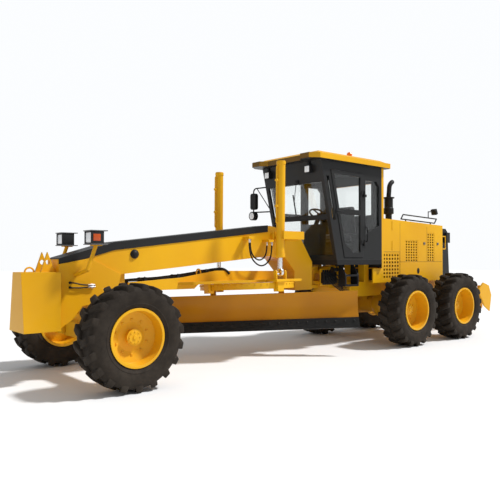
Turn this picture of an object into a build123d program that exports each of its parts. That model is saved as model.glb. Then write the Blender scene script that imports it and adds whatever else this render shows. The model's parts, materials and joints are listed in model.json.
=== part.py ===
import os
from math import cos, radians, sin, tan

from build123d import *

os.makedirs("parts", exist_ok=True)

# Motor grader, millimetres. X points forward, Y to the driver's left, Z up.
# The origin is on the ground, midway between the nose and the tail.

# Overall layout
wheelbase = 6250
tandem_pitch = 1550
nose_reach = 950
tail_reach = 2600
track = 2160
pin_clearance = 0.3

tandem_x = (tail_reach - wheelbase - nose_reach) / 2
front_axle_x = tandem_x + wheelbase
nose_x = front_axle_x + nose_reach
tail_x = tandem_x - tail_reach
wheel_y = track / 2

# Tyres and rims
tyre_diameter = 1260
tyre_width = 430
bead_diameter = 672
bead_width = 350
rim_flange_diameter = 690
rim_wall = 22
rim_disc_thickness = 24
front_disc_inset = 130
rear_disc_inset = 200
hub_diameter = 170
axle_z = tyre_diameter / 2
lug_count = 19
lug_width = 88
lug_depth = 42
lug_sweep = 84
lug_end_inset = 12
shoulder_drop = 88

# Spindles and stub axles that carry the wheels
spindle_diameter = 90
hub_cap_wall = 30

# The circle hangs between the front and middle wheels, with the frame's hinge behind it
circle_forward = 87.5
circle_x = (front_axle_x + tandem_x + tandem_pitch / 2) / 2 + circle_forward
circle_z = 1050
circle_diameter = 1500
circle_ring_width = 130
circle_height = 95
tooth_count = 64
tooth_height = 26
tooth_width = 34
hinge_to_circle = 1500
hinge_x = circle_x - hinge_to_circle

# Rear frame
rail_height = 260
rail_width = 140
rail_inner_y = 330
axle_tube_diameter = 360
axle_pad_height = 50
rail_bottom_z = axle_z + axle_tube_diameter / 2 + axle_pad_height
rail_top_z = rail_bottom_z + rail_height
rail_front_x = hinge_x - 460
rail_back_x = tandem_x - 1720
case_width = 190
case_height = 430
case_inner_y = 600

# Front axle, lean brackets and steering knuckles
kingpin_y = 800
kingpin_diameter = 80
lean_pin_y = 640
lean_pin_z = axle_z - 40
lean_pin_diameter = 70
axle_beam_height = 200
axle_beam_depth = 220

# Articulation between the front and rear frames
hinge_pin_diameter = 90
hinge_lug_radius = 110
hinge_lug_thickness = 60
hinge_lug_gap = 5
hinge_low_z = rail_bottom_z + 160
hinge_high_z = hinge_low_z + 320

# Front frame, the gooseneck
beam_width = 340
head_width = 400
leg_width = 520
leg_clearance = 60
leg_back_x = hinge_x + 270
leg_front_x = hinge_x + 950
leg_low_front_x = circle_x - circle_diameter / 2 - leg_clearance
leg_bottom_z = hinge_low_z - 10
nose_plate_x = front_axle_x + 510
nose_plate_bottom_z = 660
nose_plate_top_z = 1530
knee_x = front_axle_x - 240
knee_top_z = 1745
knee_low_x = front_axle_x - 330
knee_low_z = 1330
saddle_x = hinge_x + 1150
saddle_top_z = 2070
saddle_low_z = 1600
cover_thickness = 12
cover_depth = 95

# Nose block at the very front
block_width = 560
block_front_top_width = 300
block_bottom_z = 655
block_height = 720
eye_plate_thickness = 34
eye_plate_gap = 150
eye_bore_diameter = 60

# Drawbar and blade. They roll a little about the front ball.
ball_x = front_axle_x - 420
ball_z = 1150
ball_diameter = 130
ball_clearance = 0.6
drawbar_roll = 3.0
drawbar_plate_thickness = 40
running_gap = 5
blade_turn = 40
blade_length = 3600
blade_offset = 40
blade_bottom_z = 385
blade_height = 580
blade_thickness = 22
edge_thickness = 20

# Blade lift cylinders
lift_y = 770
lift_x = circle_x - 20
trunnion_z = 1890
trunnion_diameter = 60
lift_top_z = 3010
barrel_diameter = 130
barrel_below = 330
lift_rod_diameter = 70
lift_eye_diameter = 128
lift_eye_bore = 92
lift_eye_width = 40
lift_eye_height = 105
lift_pin_diameter = 20
lift_ear_reach = 105
lift_ear_thickness = 20
lift_ear_radius = 30

# Cab
cab_half_width = 720
cab_back_x = hinge_x - 1040
cab_front_low_x = hinge_x + 140
cab_front_high_x = hinge_x + 537
cab_floor_z = rail_top_z + 310
cab_floor_thickness = 90
cab_height = 1725
cab_roof_z = cab_floor_z + cab_height
cab_wall = 60
roof_height = 85
roof_crown = 60
visor_reach = 260
visor_notch = 110
roof_side_overhang = 90
door_post_x = hinge_x - 520
door_gap = 6
door_thickness = 45
glass_thickness = 8

# Engine hood and radiator housing
hood_half_width = 660
hood_front_x = cab_back_x - 60
hood_back_x = tandem_x - 1000
hood_bottom_z = rail_top_z - 20
hood_front_top_z = hood_bottom_z + 1170
hood_back_top_z = hood_bottom_z + 1100
hood_wall = 25
hood_skirt = 230
grille_thickness = 12
grille_recess = 3
slot_share = 0.56
radiator_half_width = 560
radiator_depth = 350
radiator_back_x = hood_back_x - radiator_depth
cowl_rake = 60
cowl_drop = 50
louvre_count = 8

# Ripper
ripper_pin_x = rail_back_x - 160
ripper_pin_z = rail_bottom_z - 100
ripper_beam_x = ripper_pin_x - 450
ripper_beam_z = ripper_pin_z + 40
ripper_half_width = 850
ripper_pin_diameter = 60
ripper_arm_y = 400
shank_count = 5

# Two hydraulic hoses that hang in loops between brackets on the left side of the beam. Each route
# starts under the front bracket and ends under the rear one.
hose_diameter = 23
hose_bracket_height = 40
hose_routes = {
    "saddle_hose_outer": [
        (1500, 300, 1840),
        (1500, 300, 1665),
        (1437, 312, 1500),
        (1270, 318, 1405),
        (1100, 312, 1485),
        (1030, 300, 1640),
        (1030, 300, 1800),
    ],
    "saddle_hose_inner": [
        (1440, 250, 1840),
        (1440, 250, 1702),
        (1390, 258, 1570),
        (1262, 262, 1500),
        (1140, 258, 1560),
        (1090, 250, 1680),
        (1090, 250, 1800),
    ],
}


def save(builder, name):
    builder.part.label = name
    export_step(builder.part, f"parts/{name}.step")


def side_outline(points, y):
    # A face in the XZ plane at the given Y, ready to be extruded towards -Y.
    with BuildSketch(Plane.XZ.offset(-y)) as outline:
        with BuildLine():
            Polyline(*points, close=True)
        make_face()
    return outline.sketch


def block(x_low, x_high, y_low, y_high, z_low, z_high, mode=Mode.ADD):
    middle = ((x_low + x_high) / 2, (y_low + y_high) / 2, (z_low + z_high) / 2)
    with Locations(middle):
        Box(x_high - x_low, y_high - y_low, z_high - z_low, mode=mode)


def rod(start, end, radius, mode=Mode.ADD):
    # A round bar from one point to the other.
    axis = Vector(*end) - Vector(*start)
    with Locations(Plane(origin=start, z_dir=axis).location):
        Cylinder(radius, axis.length, align=(Align.CENTER, Align.CENTER, Align.MIN), mode=mode)


# Wheels


# One tyre: a flat-faceted carcass with two staggered rows of swept lugs. At rest a lug of each row
# stands a quarter step either side of the lowest point, so two lug corners meet the ground.
lug_step = 360 / lug_count
lug_reach = (lug_width + lug_sweep) / 2
quarter_step = radians(lug_step / 4)
lug_top = (axle_z - lug_reach * sin(quarter_step)) / cos(quarter_step)
tread_radius = axle_z - lug_depth
half_tyre = tyre_width / 2
carcass = [
    (bead_width / 2, rim_flange_diameter / 2 + 8),
    (half_tyre, tread_radius - shoulder_drop),
    (half_tyre - 10, tread_radius),
]

with BuildPart() as lug:
    with BuildSketch(Plane.XY.offset(-lug_top)):
        with BuildLine():
            Polyline(
                (-lug_reach, lug_end_inset),
                (lug_width - lug_reach, lug_end_inset),
                (lug_reach, half_tyre - lug_end_inset),
                (lug_reach - lug_width, half_tyre - lug_end_inset),
                close=True,
            )
        make_face()
    extrude(amount=2 * lug_depth)

with BuildPart() as tyre_form:
    for y, radius in [(-y, radius) for y, radius in carcass] + carcass[::-1]:
        with BuildSketch(Plane.XZ.offset(-y)):
            RegularPolygon(radius, lug_count, rotation=lug_step / 4)
    loft(ruled=True)
    with BuildSketch(Plane.XZ.offset(half_tyre)):
        RegularPolygon(
            bead_diameter / 2 + pin_clearance, lug_count, major_radius=False, rotation=lug_step / 4
        )
    extrude(amount=-tyre_width, mode=Mode.SUBTRACT)
    with Locations(*[Location((0, 0, 0), (0, (i + 0.25) * lug_step, 0)) for i in range(lug_count)]):
        add(lug.part)
    with Locations(*[Location((0, 0, 0), (0, (i - 0.25) * lug_step, 0)) for i in range(lug_count)]):
        add(mirror(lug.part, about=Plane.XZ, mode=Mode.PRIVATE))


def make_tyre(name, x, y):
    with BuildPart() as tyre:
        with Locations((x, y, axle_z)):
            add(tyre_form.part)
    save(tyre, name)


def make_rim(name, x, y, side, disc_inset):
    # side is +1 for the left wheels, whose open dish faces +Y.
    half = bead_width / 2
    seat = bead_diameter / 2
    flange = rim_flange_diameter / 2
    disc = half - disc_inset
    hub_end = wheel_y - abs(y) + disc + 60
    hub_start = disc - rim_disc_thickness - 70
    bore = spindle_diameter / 2 + pin_clearance
    outline = [
        (half + 16, flange),
        (half + 2, flange),
        (half + 2, seat),
        (-half - 2, seat),
        (-half - 2, flange),
        (-half - 16, flange),
        (-half - 16, seat - rim_wall),
        (disc - rim_disc_thickness, seat - rim_wall - 18),
        (disc - rim_disc_thickness - 30, hub_diameter),
        (hub_start, hub_diameter / 2 + 20),
        (hub_start, bore),
        (hub_end - hub_cap_wall, bore),
        (hub_end - hub_cap_wall, 0),
        (hub_end, 0),
        (hub_end, hub_diameter / 2 - 12),
        (hub_end - 12, hub_diameter / 2),
        (disc - 20, hub_diameter / 2),
        (disc - 30, hub_diameter),
        (disc, seat - rim_wall - 18),
        (half + 16, seat - rim_wall),
    ]
    with BuildPart() as rim:
        with BuildSketch(Plane.YZ.offset(x)):
            with BuildLine():
                Polyline(*[(y + side * s, axle_z + r) for s, r in outline], close=True)
            make_face()
        revolve(axis=Axis((x, y, axle_z), (0, 1, 0)))
    save(rim, name)


wheels = {
    "front_left": (front_axle_x, 1, front_disc_inset),
    "front_right": (front_axle_x, -1, front_disc_inset),
    "mid_left": (tandem_x + tandem_pitch / 2, 1, rear_disc_inset),
    "mid_right": (tandem_x + tandem_pitch / 2, -1, rear_disc_inset),
    "rear_left": (tandem_x - tandem_pitch / 2, 1, rear_disc_inset),
    "rear_right": (tandem_x - tandem_pitch / 2, -1, rear_disc_inset),
}
for wheel, (x, side, inset) in wheels.items():
    make_tyre(f"tyre_{wheel}", x, side * wheel_y)
    make_rim(f"rim_{wheel}", x, side * wheel_y, side, inset)


def spindle_span(inset):
    # Distances from the centre plane where a spindle starts and ends inside its hub.
    disc = wheel_y + bead_width / 2 - inset
    return disc - rim_disc_thickness - 70, disc + 60 - hub_cap_wall - 4


# Tandem cases and rear axle

with BuildPart() as tandem_cases:
    for side in (1, -1):
        y_high = max(side * case_inner_y, side * (case_inner_y + case_width))
        with BuildSketch(Plane.XZ.offset(-y_high)):
            with Locations((tandem_x, axle_z)):
                SlotOverall(tandem_pitch + case_height, case_height)
        extrude(amount=case_width)
        start, end = spindle_span(rear_disc_inset)
        for x in (tandem_x + tandem_pitch / 2, tandem_x - tandem_pitch / 2):
            flange_y = side * (case_inner_y + case_width)
            rod((x, flange_y, axle_z), (x, side * (start - 10), axle_z), 120)
            rod((x, flange_y, axle_z), (x, side * end, axle_z), spindle_diameter / 2)
save(tandem_cases, "tandem_cases")

with BuildPart() as rear_axle:
    rod((tandem_x, -case_inner_y, axle_z), (tandem_x, case_inner_y, axle_z), axle_tube_diameter / 2)
    with Locations((tandem_x, 0, axle_z)):
        Sphere(290)
    for side in (1, -1):
        pad_y = sorted((side * rail_inner_y, side * (rail_inner_y + rail_width)))
        block(tandem_x - 170, tandem_x + 170, *pad_y, axle_z, rail_bottom_z)
    block(tandem_x - 400, tandem_x + 400, -300, 300, rail_bottom_z, rail_top_z, mode=Mode.SUBTRACT)
save(rear_axle, "rear_axle")

# Rear frame with the hinge tongue

with BuildPart() as rear_frame:
    for side in (1, -1):
        rail_y = sorted((side * rail_inner_y, side * (rail_inner_y + rail_width)))
        block(rail_back_x, rail_front_x, *rail_y, rail_bottom_z, rail_top_z)
        for x in (cab_back_x + 120, rail_front_x - 80):
            block(x - 60, x + 60, *rail_y, rail_top_z, cab_floor_z)
    outer_y = rail_inner_y + rail_width
    block(rail_back_x - 60, rail_back_x, -outer_y, outer_y, rail_bottom_z - 130, rail_top_z)
    block(rail_front_x - 90, rail_front_x, -rail_inner_y, rail_inner_y, rail_bottom_z, rail_top_z)
    tongue_back_x = rail_front_x - 10
    tongue_x = hinge_x - 150
    block(tongue_back_x, tongue_x, -260, 260, hinge_low_z, hinge_high_z + hinge_lug_thickness)
    lug_step = hinge_lug_thickness + hinge_lug_gap
    for z in (hinge_low_z + lug_step, hinge_high_z - lug_step):
        block(tongue_x - 20, hinge_x, -hinge_lug_radius, hinge_lug_radius, z, z + hinge_lug_thickness)
        with Locations((hinge_x, 0, z + hinge_lug_thickness / 2)):
            Cylinder(hinge_lug_radius, hinge_lug_thickness)
    rod(
        (hinge_x, 0, hinge_low_z),
        (hinge_x, 0, hinge_high_z + hinge_lug_thickness),
        hinge_pin_diameter / 2,
    )
    for side in (1, -1):
        lug_y = sorted((side * (ripper_arm_y - 70), side * (ripper_arm_y + 70)))
        block(ripper_pin_x, rail_back_x - 60, *lug_y, ripper_pin_z - 60, ripper_pin_z + 60)
        y = side * ripper_arm_y
        rod((ripper_pin_x, y - 70, ripper_pin_z), (ripper_pin_x, y + 70, ripper_pin_z), 60)
        rod(
            (ripper_pin_x, y - 112, ripper_pin_z),
            (ripper_pin_x, y + 112, ripper_pin_z),
            ripper_pin_diameter / 2,
        )
save(rear_frame, "rear_frame")

with BuildPart() as engine_block:
    block(hood_back_x + 300, hood_front_x - 400, -320, 320, rail_top_z, hood_front_top_z - 320)
    block(hood_back_x + 500, hood_front_x - 600, -180, 180, hood_front_top_z - 320, hood_front_top_z - 190)
    for side in (1, -1):
        foot_y = sorted((side * 320, side * (rail_inner_y + 60)))
        block(hood_back_x + 700, hood_back_x + 820, *foot_y, rail_top_z, rail_top_z + 180)
save(engine_block, "engine_block")

# Hood and radiator housing

hood_profile = [
    (hood_back_x, hood_bottom_z),
    (hood_front_x, hood_bottom_z),
    (hood_front_x, hood_front_top_z),
    (hood_back_x, hood_back_top_z),
]
# Each grille: distance of its front edge behind the hood's front, length, distance of its foot
# above the hood's bottom, height, columns and rows of slots
grilles = [
    (40, 520, 60, 480, 6, 7),
    (724, 422, 370, 415, 5, 8),
    (1450, 250, 367, 573, 3, 11),
]
inner_half = hood_half_width - hood_wall
with BuildPart() as hood:
    extrude(side_outline(hood_profile, hood_half_width), amount=2 * hood_half_width)
    inner = [
        (hood_back_x - 1, hood_bottom_z - 1),
        (hood_front_x + 1, hood_bottom_z - 1),
        (hood_front_x + 1, cab_floor_z - 80),
        (hood_front_x - hood_wall, cab_floor_z - 80),
        (hood_front_x - hood_wall, hood_front_top_z - hood_wall),
        (hood_back_x - 1, hood_back_top_z - hood_wall),
    ]
    extrude(side_outline(inner, inner_half), amount=2 * inner_half, mode=Mode.SUBTRACT)
    for side in (1, -1):
        wall_y = sorted((side * inner_half, side * hood_half_width))
        block(hood_front_x - 1, hood_front_x + hood_skirt, *wall_y, hood_bottom_z, cab_floor_z - 70)
        foot_y = sorted((side * rail_inner_y, side * (inner_half + 1)))
        for x in (hood_back_x + 60, hood_front_x - 660):
            block(x, x + 60, *foot_y, rail_top_z, rail_top_z + 60)
    for start, length, foot, height, columns, rows in grilles:
        x_high, z_low = hood_front_x - start, hood_bottom_z + foot
        for side in (1, -1):
            cut_y = sorted((side * (inner_half - 1), side * (hood_half_width + 1)))
            block(x_high - length, x_high, *cut_y, z_low, z_low + height, mode=Mode.SUBTRACT)
save(hood, "hood")

with BuildPart() as hood_grilles:
    outer_y = hood_half_width - grille_recess
    for start, length, foot, height, columns, rows in grilles:
        middle = (hood_front_x - start - length / 2, hood_bottom_z + foot + height / 2)
        cell = (0.94 * length / columns, 0.96 * height / rows)
        for y in (outer_y, grille_thickness - outer_y):
            with BuildSketch(Plane.XZ.offset(-y)):
                with Locations(middle):
                    Rectangle(length, height)
                    with GridLocations(*cell, columns, rows):
                        Rectangle(slot_share * cell[0], slot_share * cell[1], mode=Mode.SUBTRACT)
            extrude(amount=grille_thickness)
save(hood_grilles, "hood_grilles")

# The cowl over the radiator, raked at the back and open there behind slanted louvres

cowl_top_z = hood_back_top_z - cowl_drop
with BuildPart() as radiator_housing:
    cowl = [
        (hood_back_x, rail_top_z),
        (radiator_back_x - cowl_rake, rail_top_z),
        (radiator_back_x, cowl_top_z - 70),
        (radiator_back_x + 70, cowl_top_z),
        (hood_back_x, cowl_top_z),
    ]
    extrude(side_outline(cowl, radiator_half_width), amount=2 * radiator_half_width)
    inset = radiator_half_width - 60
    louvre_low_z = rail_top_z + 130
    louvre_high_z = cowl_top_z - 130
    mouth_x = radiator_back_x - cowl_rake - 1
    block(mouth_x, radiator_back_x + 200, -inset, inset, louvre_low_z, louvre_high_z, mode=Mode.SUBTRACT)
    louvre_pitch = (louvre_high_z - louvre_low_z) / louvre_count
    for i in range(louvre_count):
        z = louvre_low_z + (i + 0.3) * louvre_pitch
        louvre = [
            (radiator_back_x + 20, z),
            (radiator_back_x + 100, z + 40),
            (radiator_back_x + 100, z + 54),
            (radiator_back_x + 20, z + 14),
        ]
        extrude(side_outline(louvre, inset + 2), amount=2 * inset + 4)
    for side in (1, -1):
        lamp_y = sorted((side * (radiator_half_width - 2), side * (radiator_half_width + 60)))
        block(radiator_back_x + 5, radiator_back_x + 130, *lamp_y, cowl_top_z - 290, cowl_top_z - 80)
save(radiator_housing, "radiator_housing")

# Cab


def cab_front(z):
    # X of the leaning windscreen plane at height z.
    rise = (z - cab_floor_z) / (cab_roof_z - cab_floor_z)
    return cab_front_low_x + rise * (cab_front_high_x - cab_front_low_x)


cab_sill_z = cab_floor_z + cab_floor_thickness
door_axis_x = door_post_x - 8
hinge_stand_off = 28
door_hinge_z = (cab_sill_z + 280, cab_roof_z - 505)
screen_bar_low_z = cab_sill_z + 670
screen_bar_high_z = screen_bar_low_z + 80
screen_top_z = cab_roof_z - 355
side_glass_top_z = cab_roof_z - 255
rear_glass_low_z = hood_front_top_z + 60
rear_glass_half = 480
door_low_z = cab_sill_z + 30
door_high_z = cab_roof_z - 145
door_front_inset = 190

with BuildPart() as cab_base:
    profile = [
        (cab_back_x, cab_floor_z),
        (cab_front(cab_floor_z), cab_floor_z),
        (cab_front(cab_sill_z), cab_sill_z),
        (cab_back_x, cab_sill_z),
    ]
    extrude(side_outline(profile, cab_half_width), amount=2 * cab_half_width)
save(cab_base, "cab_base")

with BuildPart() as cab_frame:
    shell = [
        (cab_back_x, cab_sill_z),
        (cab_front(cab_sill_z), cab_sill_z),
        (cab_front(cab_roof_z), cab_roof_z),
        (cab_back_x, cab_roof_z),
    ]
    extrude(side_outline(shell, cab_half_width), amount=2 * cab_half_width)
    room = [
        (cab_back_x - 1, cab_sill_z - 1),
        (cab_front(cab_sill_z) - cab_wall, cab_sill_z - 1),
        (cab_front(cab_roof_z) - cab_wall, cab_roof_z - cab_wall),
        (cab_back_x - 1, cab_roof_z - cab_wall),
    ]
    room_half = cab_half_width - cab_wall
    extrude(side_outline(room, room_half), amount=2 * room_half, mode=Mode.SUBTRACT)
    doorway = [
        (door_post_x, door_low_z),
        (cab_front(door_low_z) - door_front_inset, door_low_z),
        (cab_front(door_high_z) - door_front_inset, door_high_z),
        (door_post_x, door_high_z),
    ]
    extrude(side_outline(doorway, cab_half_width + 1), amount=2 * cab_half_width + 2, mode=Mode.SUBTRACT)
    corner_low_z = screen_bar_low_z - 10
    corner = [
        (cab_front(corner_low_z) - door_front_inset + 60, corner_low_z),
        (cab_front(corner_low_z) - cab_wall, corner_low_z),
        (cab_front(side_glass_top_z) - cab_wall, side_glass_top_z),
        (cab_front(side_glass_top_z) - door_front_inset + 60, side_glass_top_z),
    ]
    quarter = [
        (cab_back_x + 70, cab_sill_z + 600),
        (door_post_x - 70, cab_sill_z + 440),
        (door_post_x - 70, side_glass_top_z),
        (cab_back_x + 150, side_glass_top_z),
        (cab_back_x + 70, side_glass_top_z - 80),
    ]
    for opening in (corner, quarter):
        extrude(side_outline(opening, cab_half_width + 1), amount=2 * cab_half_width + 2, mode=Mode.SUBTRACT)
    screen = [
        (cab_front_low_x - 400, cab_sill_z + 70),
        (cab_front_high_x + 100, cab_sill_z + 70),
        (cab_front_high_x + 100, screen_top_z),
        (cab_front_low_x - 400, screen_top_z),
    ]
    extrude(side_outline(screen, cab_half_width - 70), amount=2 * cab_half_width - 140, mode=Mode.SUBTRACT)
    block(
        cab_front(screen_bar_low_z) - cab_wall + 10,
        cab_front(screen_bar_low_z) + 10,
        -cab_half_width + 60,
        cab_half_width - 60,
        screen_bar_low_z,
        screen_bar_high_z,
    )
    for side in (1, -1):
        axis_y = side * (cab_half_width + hinge_stand_off)
        for z in door_hinge_z:
            tab_y = sorted((side * cab_half_width, side * (cab_half_width + hinge_stand_off)))
            block(door_axis_x - 60, door_axis_x, *tab_y, z - 45, z - pin_clearance)
            rod((door_axis_x, axis_y, z - 45), (door_axis_x, axis_y, z - pin_clearance), 16)
            rod((door_axis_x, axis_y, z - 45), (door_axis_x, axis_y, z + 60), 8)
save(cab_frame, "cab_frame")

with BuildPart() as cab_rear_wall:
    block(hood_front_x, cab_back_x, -cab_half_width, cab_half_width, cab_floor_z - 60, cab_roof_z)
    block(
        hood_front_x - 1,
        cab_back_x + 1,
        -rear_glass_half,
        rear_glass_half,
        rear_glass_low_z,
        side_glass_top_z,
        mode=Mode.SUBTRACT,
    )
save(cab_rear_wall, "cab_rear_wall")

with BuildPart() as cab_roof:
    roof_half = cab_half_width + roof_side_overhang
    roof_back_x = hood_front_x - 120
    visor_x = cab_front_high_x + visor_reach
    plan = [
        (roof_back_x + 40, -roof_half),
        (visor_x - 150, -roof_half),
        (visor_x, -roof_half + 110),
        (visor_x, -0.62 * roof_half),
        (visor_x - visor_notch, -0.5 * roof_half),
        (visor_x - visor_notch, 0.5 * roof_half),
        (visor_x, 0.62 * roof_half),
        (visor_x, roof_half - 110),
        (visor_x - 150, roof_half),
        (roof_back_x + 40, roof_half),
        (roof_back_x, roof_half - 60),
        (roof_back_x, -roof_half + 60),
    ]
    with BuildSketch(Plane.XY.offset(cab_roof_z)):
        with BuildLine():
            Polyline(*plan, close=True)
        make_face()
    extrude(amount=roof_height)
    crown_x = (roof_back_x + visor_x - visor_notch) / 2
    crown_length = visor_x - visor_notch - roof_back_x
    for inset, z in ((40, cab_roof_z + roof_height - 2), (150, cab_roof_z + roof_height + roof_crown)):
        with BuildSketch(Plane.XY.offset(z)):
            with Locations((crown_x, 0)):
                Rectangle(crown_length - 2 * inset, 2 * (roof_half - inset))
    loft(ruled=True)
save(cab_roof, "cab_roof")

with BuildPart() as cab_windows:
    low, high = cab_sill_z + 70, screen_top_z
    mid = cab_wall / 2
    pane = [
        (cab_front(low) - mid, low),
        (cab_front(low) - mid + glass_thickness, low),
        (cab_front(high) - mid + glass_thickness, high),
        (cab_front(high) - mid, high),
    ]
    pane_half = cab_half_width - 70
    extrude(side_outline(pane, pane_half), amount=2 * pane_half)
    block(
        cab_front(screen_bar_low_z) - cab_wall + 10,
        cab_front(screen_bar_low_z) + 10,
        -cab_half_width + 60,
        cab_half_width - 60,
        screen_bar_low_z,
        screen_bar_high_z,
        mode=Mode.SUBTRACT,
    )
    for y in (cab_half_width - 26, -cab_half_width + 26 + glass_thickness):
        for opening in (corner, quarter):
            extrude(side_outline(opening, y), amount=glass_thickness)
    middle = (hood_front_x + cab_back_x) / 2
    block(
        middle - glass_thickness / 2,
        middle + glass_thickness / 2,
        -rear_glass_half,
        rear_glass_half,
        rear_glass_low_z,
        side_glass_top_z,
    )
save(cab_windows, "cab_windows")


def make_door(side, word):
    y_outer = cab_half_width + 10
    y_inner = y_outer - door_thickness
    y_high = max(side * y_outer, side * y_inner)
    gap = door_gap
    front_low = cab_front(door_low_z) - door_front_inset - gap
    front_high = cab_front(door_high_z) - door_front_inset - gap
    leaf = [
        (door_post_x + gap, door_low_z + gap),
        (front_low, door_low_z + gap),
        (front_high, door_high_z - gap),
        (door_post_x + gap, door_high_z - gap),
    ]

    def lean(z):
        rise = (z - door_low_z) / (door_high_z - door_low_z)
        return front_low + rise * (front_high - front_low)

    bar_low, bar_high = door_low_z + 730, door_low_z + 820
    top, sill = door_high_z - 70, door_low_z + 90
    upper = [
        (door_post_x + 80, bar_high),
        (lean(bar_high) - 60, bar_high),
        (lean(top) - 60, top),
        (door_post_x + 80, top),
    ]
    lower = [
        (door_post_x + 80, sill),
        (lean(sill) - 240, sill),
        (lean(sill + 160) - 60, sill + 160),
        (lean(bar_low) - 60, bar_low),
        (door_post_x + 80, bar_low),
    ]
    with BuildPart() as door:
        extrude(side_outline(leaf, y_high), amount=door_thickness)
        for opening in (upper, lower):
            extrude(side_outline(opening, y_high + 1), amount=door_thickness + 2, mode=Mode.SUBTRACT)
        axis_y = side * (cab_half_width + hinge_stand_off)
        for z in door_hinge_z:
            tab_y = sorted((side * y_outer, side * (y_outer + 12)))
            block(door_axis_x + 4, door_post_x + 60, *tab_y, z, z + 60)
            rod((door_axis_x, axis_y, z), (door_axis_x, axis_y, z + 60), 16)
            bore_low, bore_high = (door_axis_x, axis_y, z - 1), (door_axis_x, axis_y, z + 61)
            rod(bore_low, bore_high, 8 + pin_clearance, mode=Mode.SUBTRACT)
    save(door, f"door_{word}")
    with BuildPart() as glass:
        glass_y = y_high - (door_thickness - glass_thickness) / 2
        for opening in (upper, lower):
            extrude(side_outline(opening, glass_y), amount=glass_thickness)
    save(glass, f"door_glass_{word}")


make_door(1, "left")
make_door(-1, "right")

with BuildPart() as seat:
    seat_x = door_post_x - 100
    block(seat_x - 150, seat_x + 150, -150, 150, cab_sill_z, cab_sill_z + 330)
    block(seat_x - 250, seat_x + 260, -250, 250, cab_sill_z + 330, cab_sill_z + 460)
    block(seat_x - 330, seat_x - 200, -240, 240, cab_sill_z + 400, cab_sill_z + 1000)
save(seat, "seat")

with BuildPart() as console:
    column_x = cab_front_low_x - 190
    block(column_x - 90, column_x + 60, -200, 200, cab_sill_z, cab_sill_z + 620)
    rod((column_x - 40, 0, cab_sill_z + 600), (column_x - 150, 0, cab_sill_z + 800), 40)
    with Locations(Location((column_x - 150, 0, cab_sill_z + 800), (0, -29, 0))):
        Torus(190, 16)
        Box(380, 30, 14)
        Cylinder(50, 30)
save(console, "console")

# Steps under the cab doors

with BuildPart() as cab_steps:
    step_x = door_post_x + 220
    step_low_z = cab_floor_z - 370
    step_half = 160
    step_inner_y, step_outer_y = 500, 660
    for x in (step_x - step_half, step_x + step_half):
        for side in (1, -1):
            with BuildSketch(Plane.YZ.offset(x - 15)):
                with BuildLine():
                    Polyline(
                        (side * step_inner_y, cab_floor_z),
                        (side * (step_inner_y + 50), cab_floor_z),
                        (side * step_outer_y, cab_floor_z - 170),
                        (side * step_outer_y, step_low_z),
                        (side * step_inner_y, step_low_z),
                        close=True,
                    )
                make_face()
            extrude(amount=30)
    for side in (1, -1):
        step_y = sorted((side * step_inner_y, side * step_outer_y))
        for z in (step_low_z, cab_floor_z - 200):
            block(step_x - step_half, step_x + step_half, *step_y, z, z + 30)
save(cab_steps, "cab_steps")

with BuildPart() as exhaust:
    stack_x = hood_front_x - 640
    stack_y = 350
    foot_z = hood_front_top_z
    pipe_radius = 44
    pipe_bore = 38
    with BuildSketch(Plane.XZ.offset(-stack_y)):
        with BuildLine():
            Polyline(
                (stack_x, hood_back_top_z - 30),
                (stack_x + 60, hood_back_top_z - 30),
                (stack_x + 60, foot_z + 110),
                (stack_x + 95, foot_z + 125),
                (stack_x + 95, foot_z + 225),
                (stack_x + 82, foot_z + 240),
                (stack_x + 82, foot_z + 415),
                (stack_x + 110, foot_z + 420),
                (stack_x + 110, foot_z + 440),
                (stack_x, foot_z + 440),
                close=True,
            )
        make_face()
    revolve(axis=Axis((stack_x, stack_y, 0), (0, 0, 1)))
    with BuildLine():
        Line((stack_x, stack_y, foot_z + 435), (stack_x - 20, stack_y, foot_z + 600))
        ThreePointArc(
            (stack_x - 20, stack_y, foot_z + 600),
            (stack_x - 48, stack_y, foot_z + 690),
            (stack_x - 120, stack_y, foot_z + 745),
        )
    with BuildSketch(Plane(origin=(stack_x, stack_y, foot_z + 435), z_dir=(-20, 0, 165))):
        Circle(pipe_radius)
    sweep()
    rod(
        (stack_x - 123, stack_y, foot_z + 746.5),
        (stack_x - 60, stack_y, foot_z + 715),
        pipe_bore,
        mode=Mode.SUBTRACT,
    )
    extrude(side_outline(hood_profile, hood_half_width), amount=2 * hood_half_width, mode=Mode.SUBTRACT)
save(exhaust, "exhaust")

# A slanted loop of rail along each top edge of the hood, and a small lamp on a bent stalk

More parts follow.
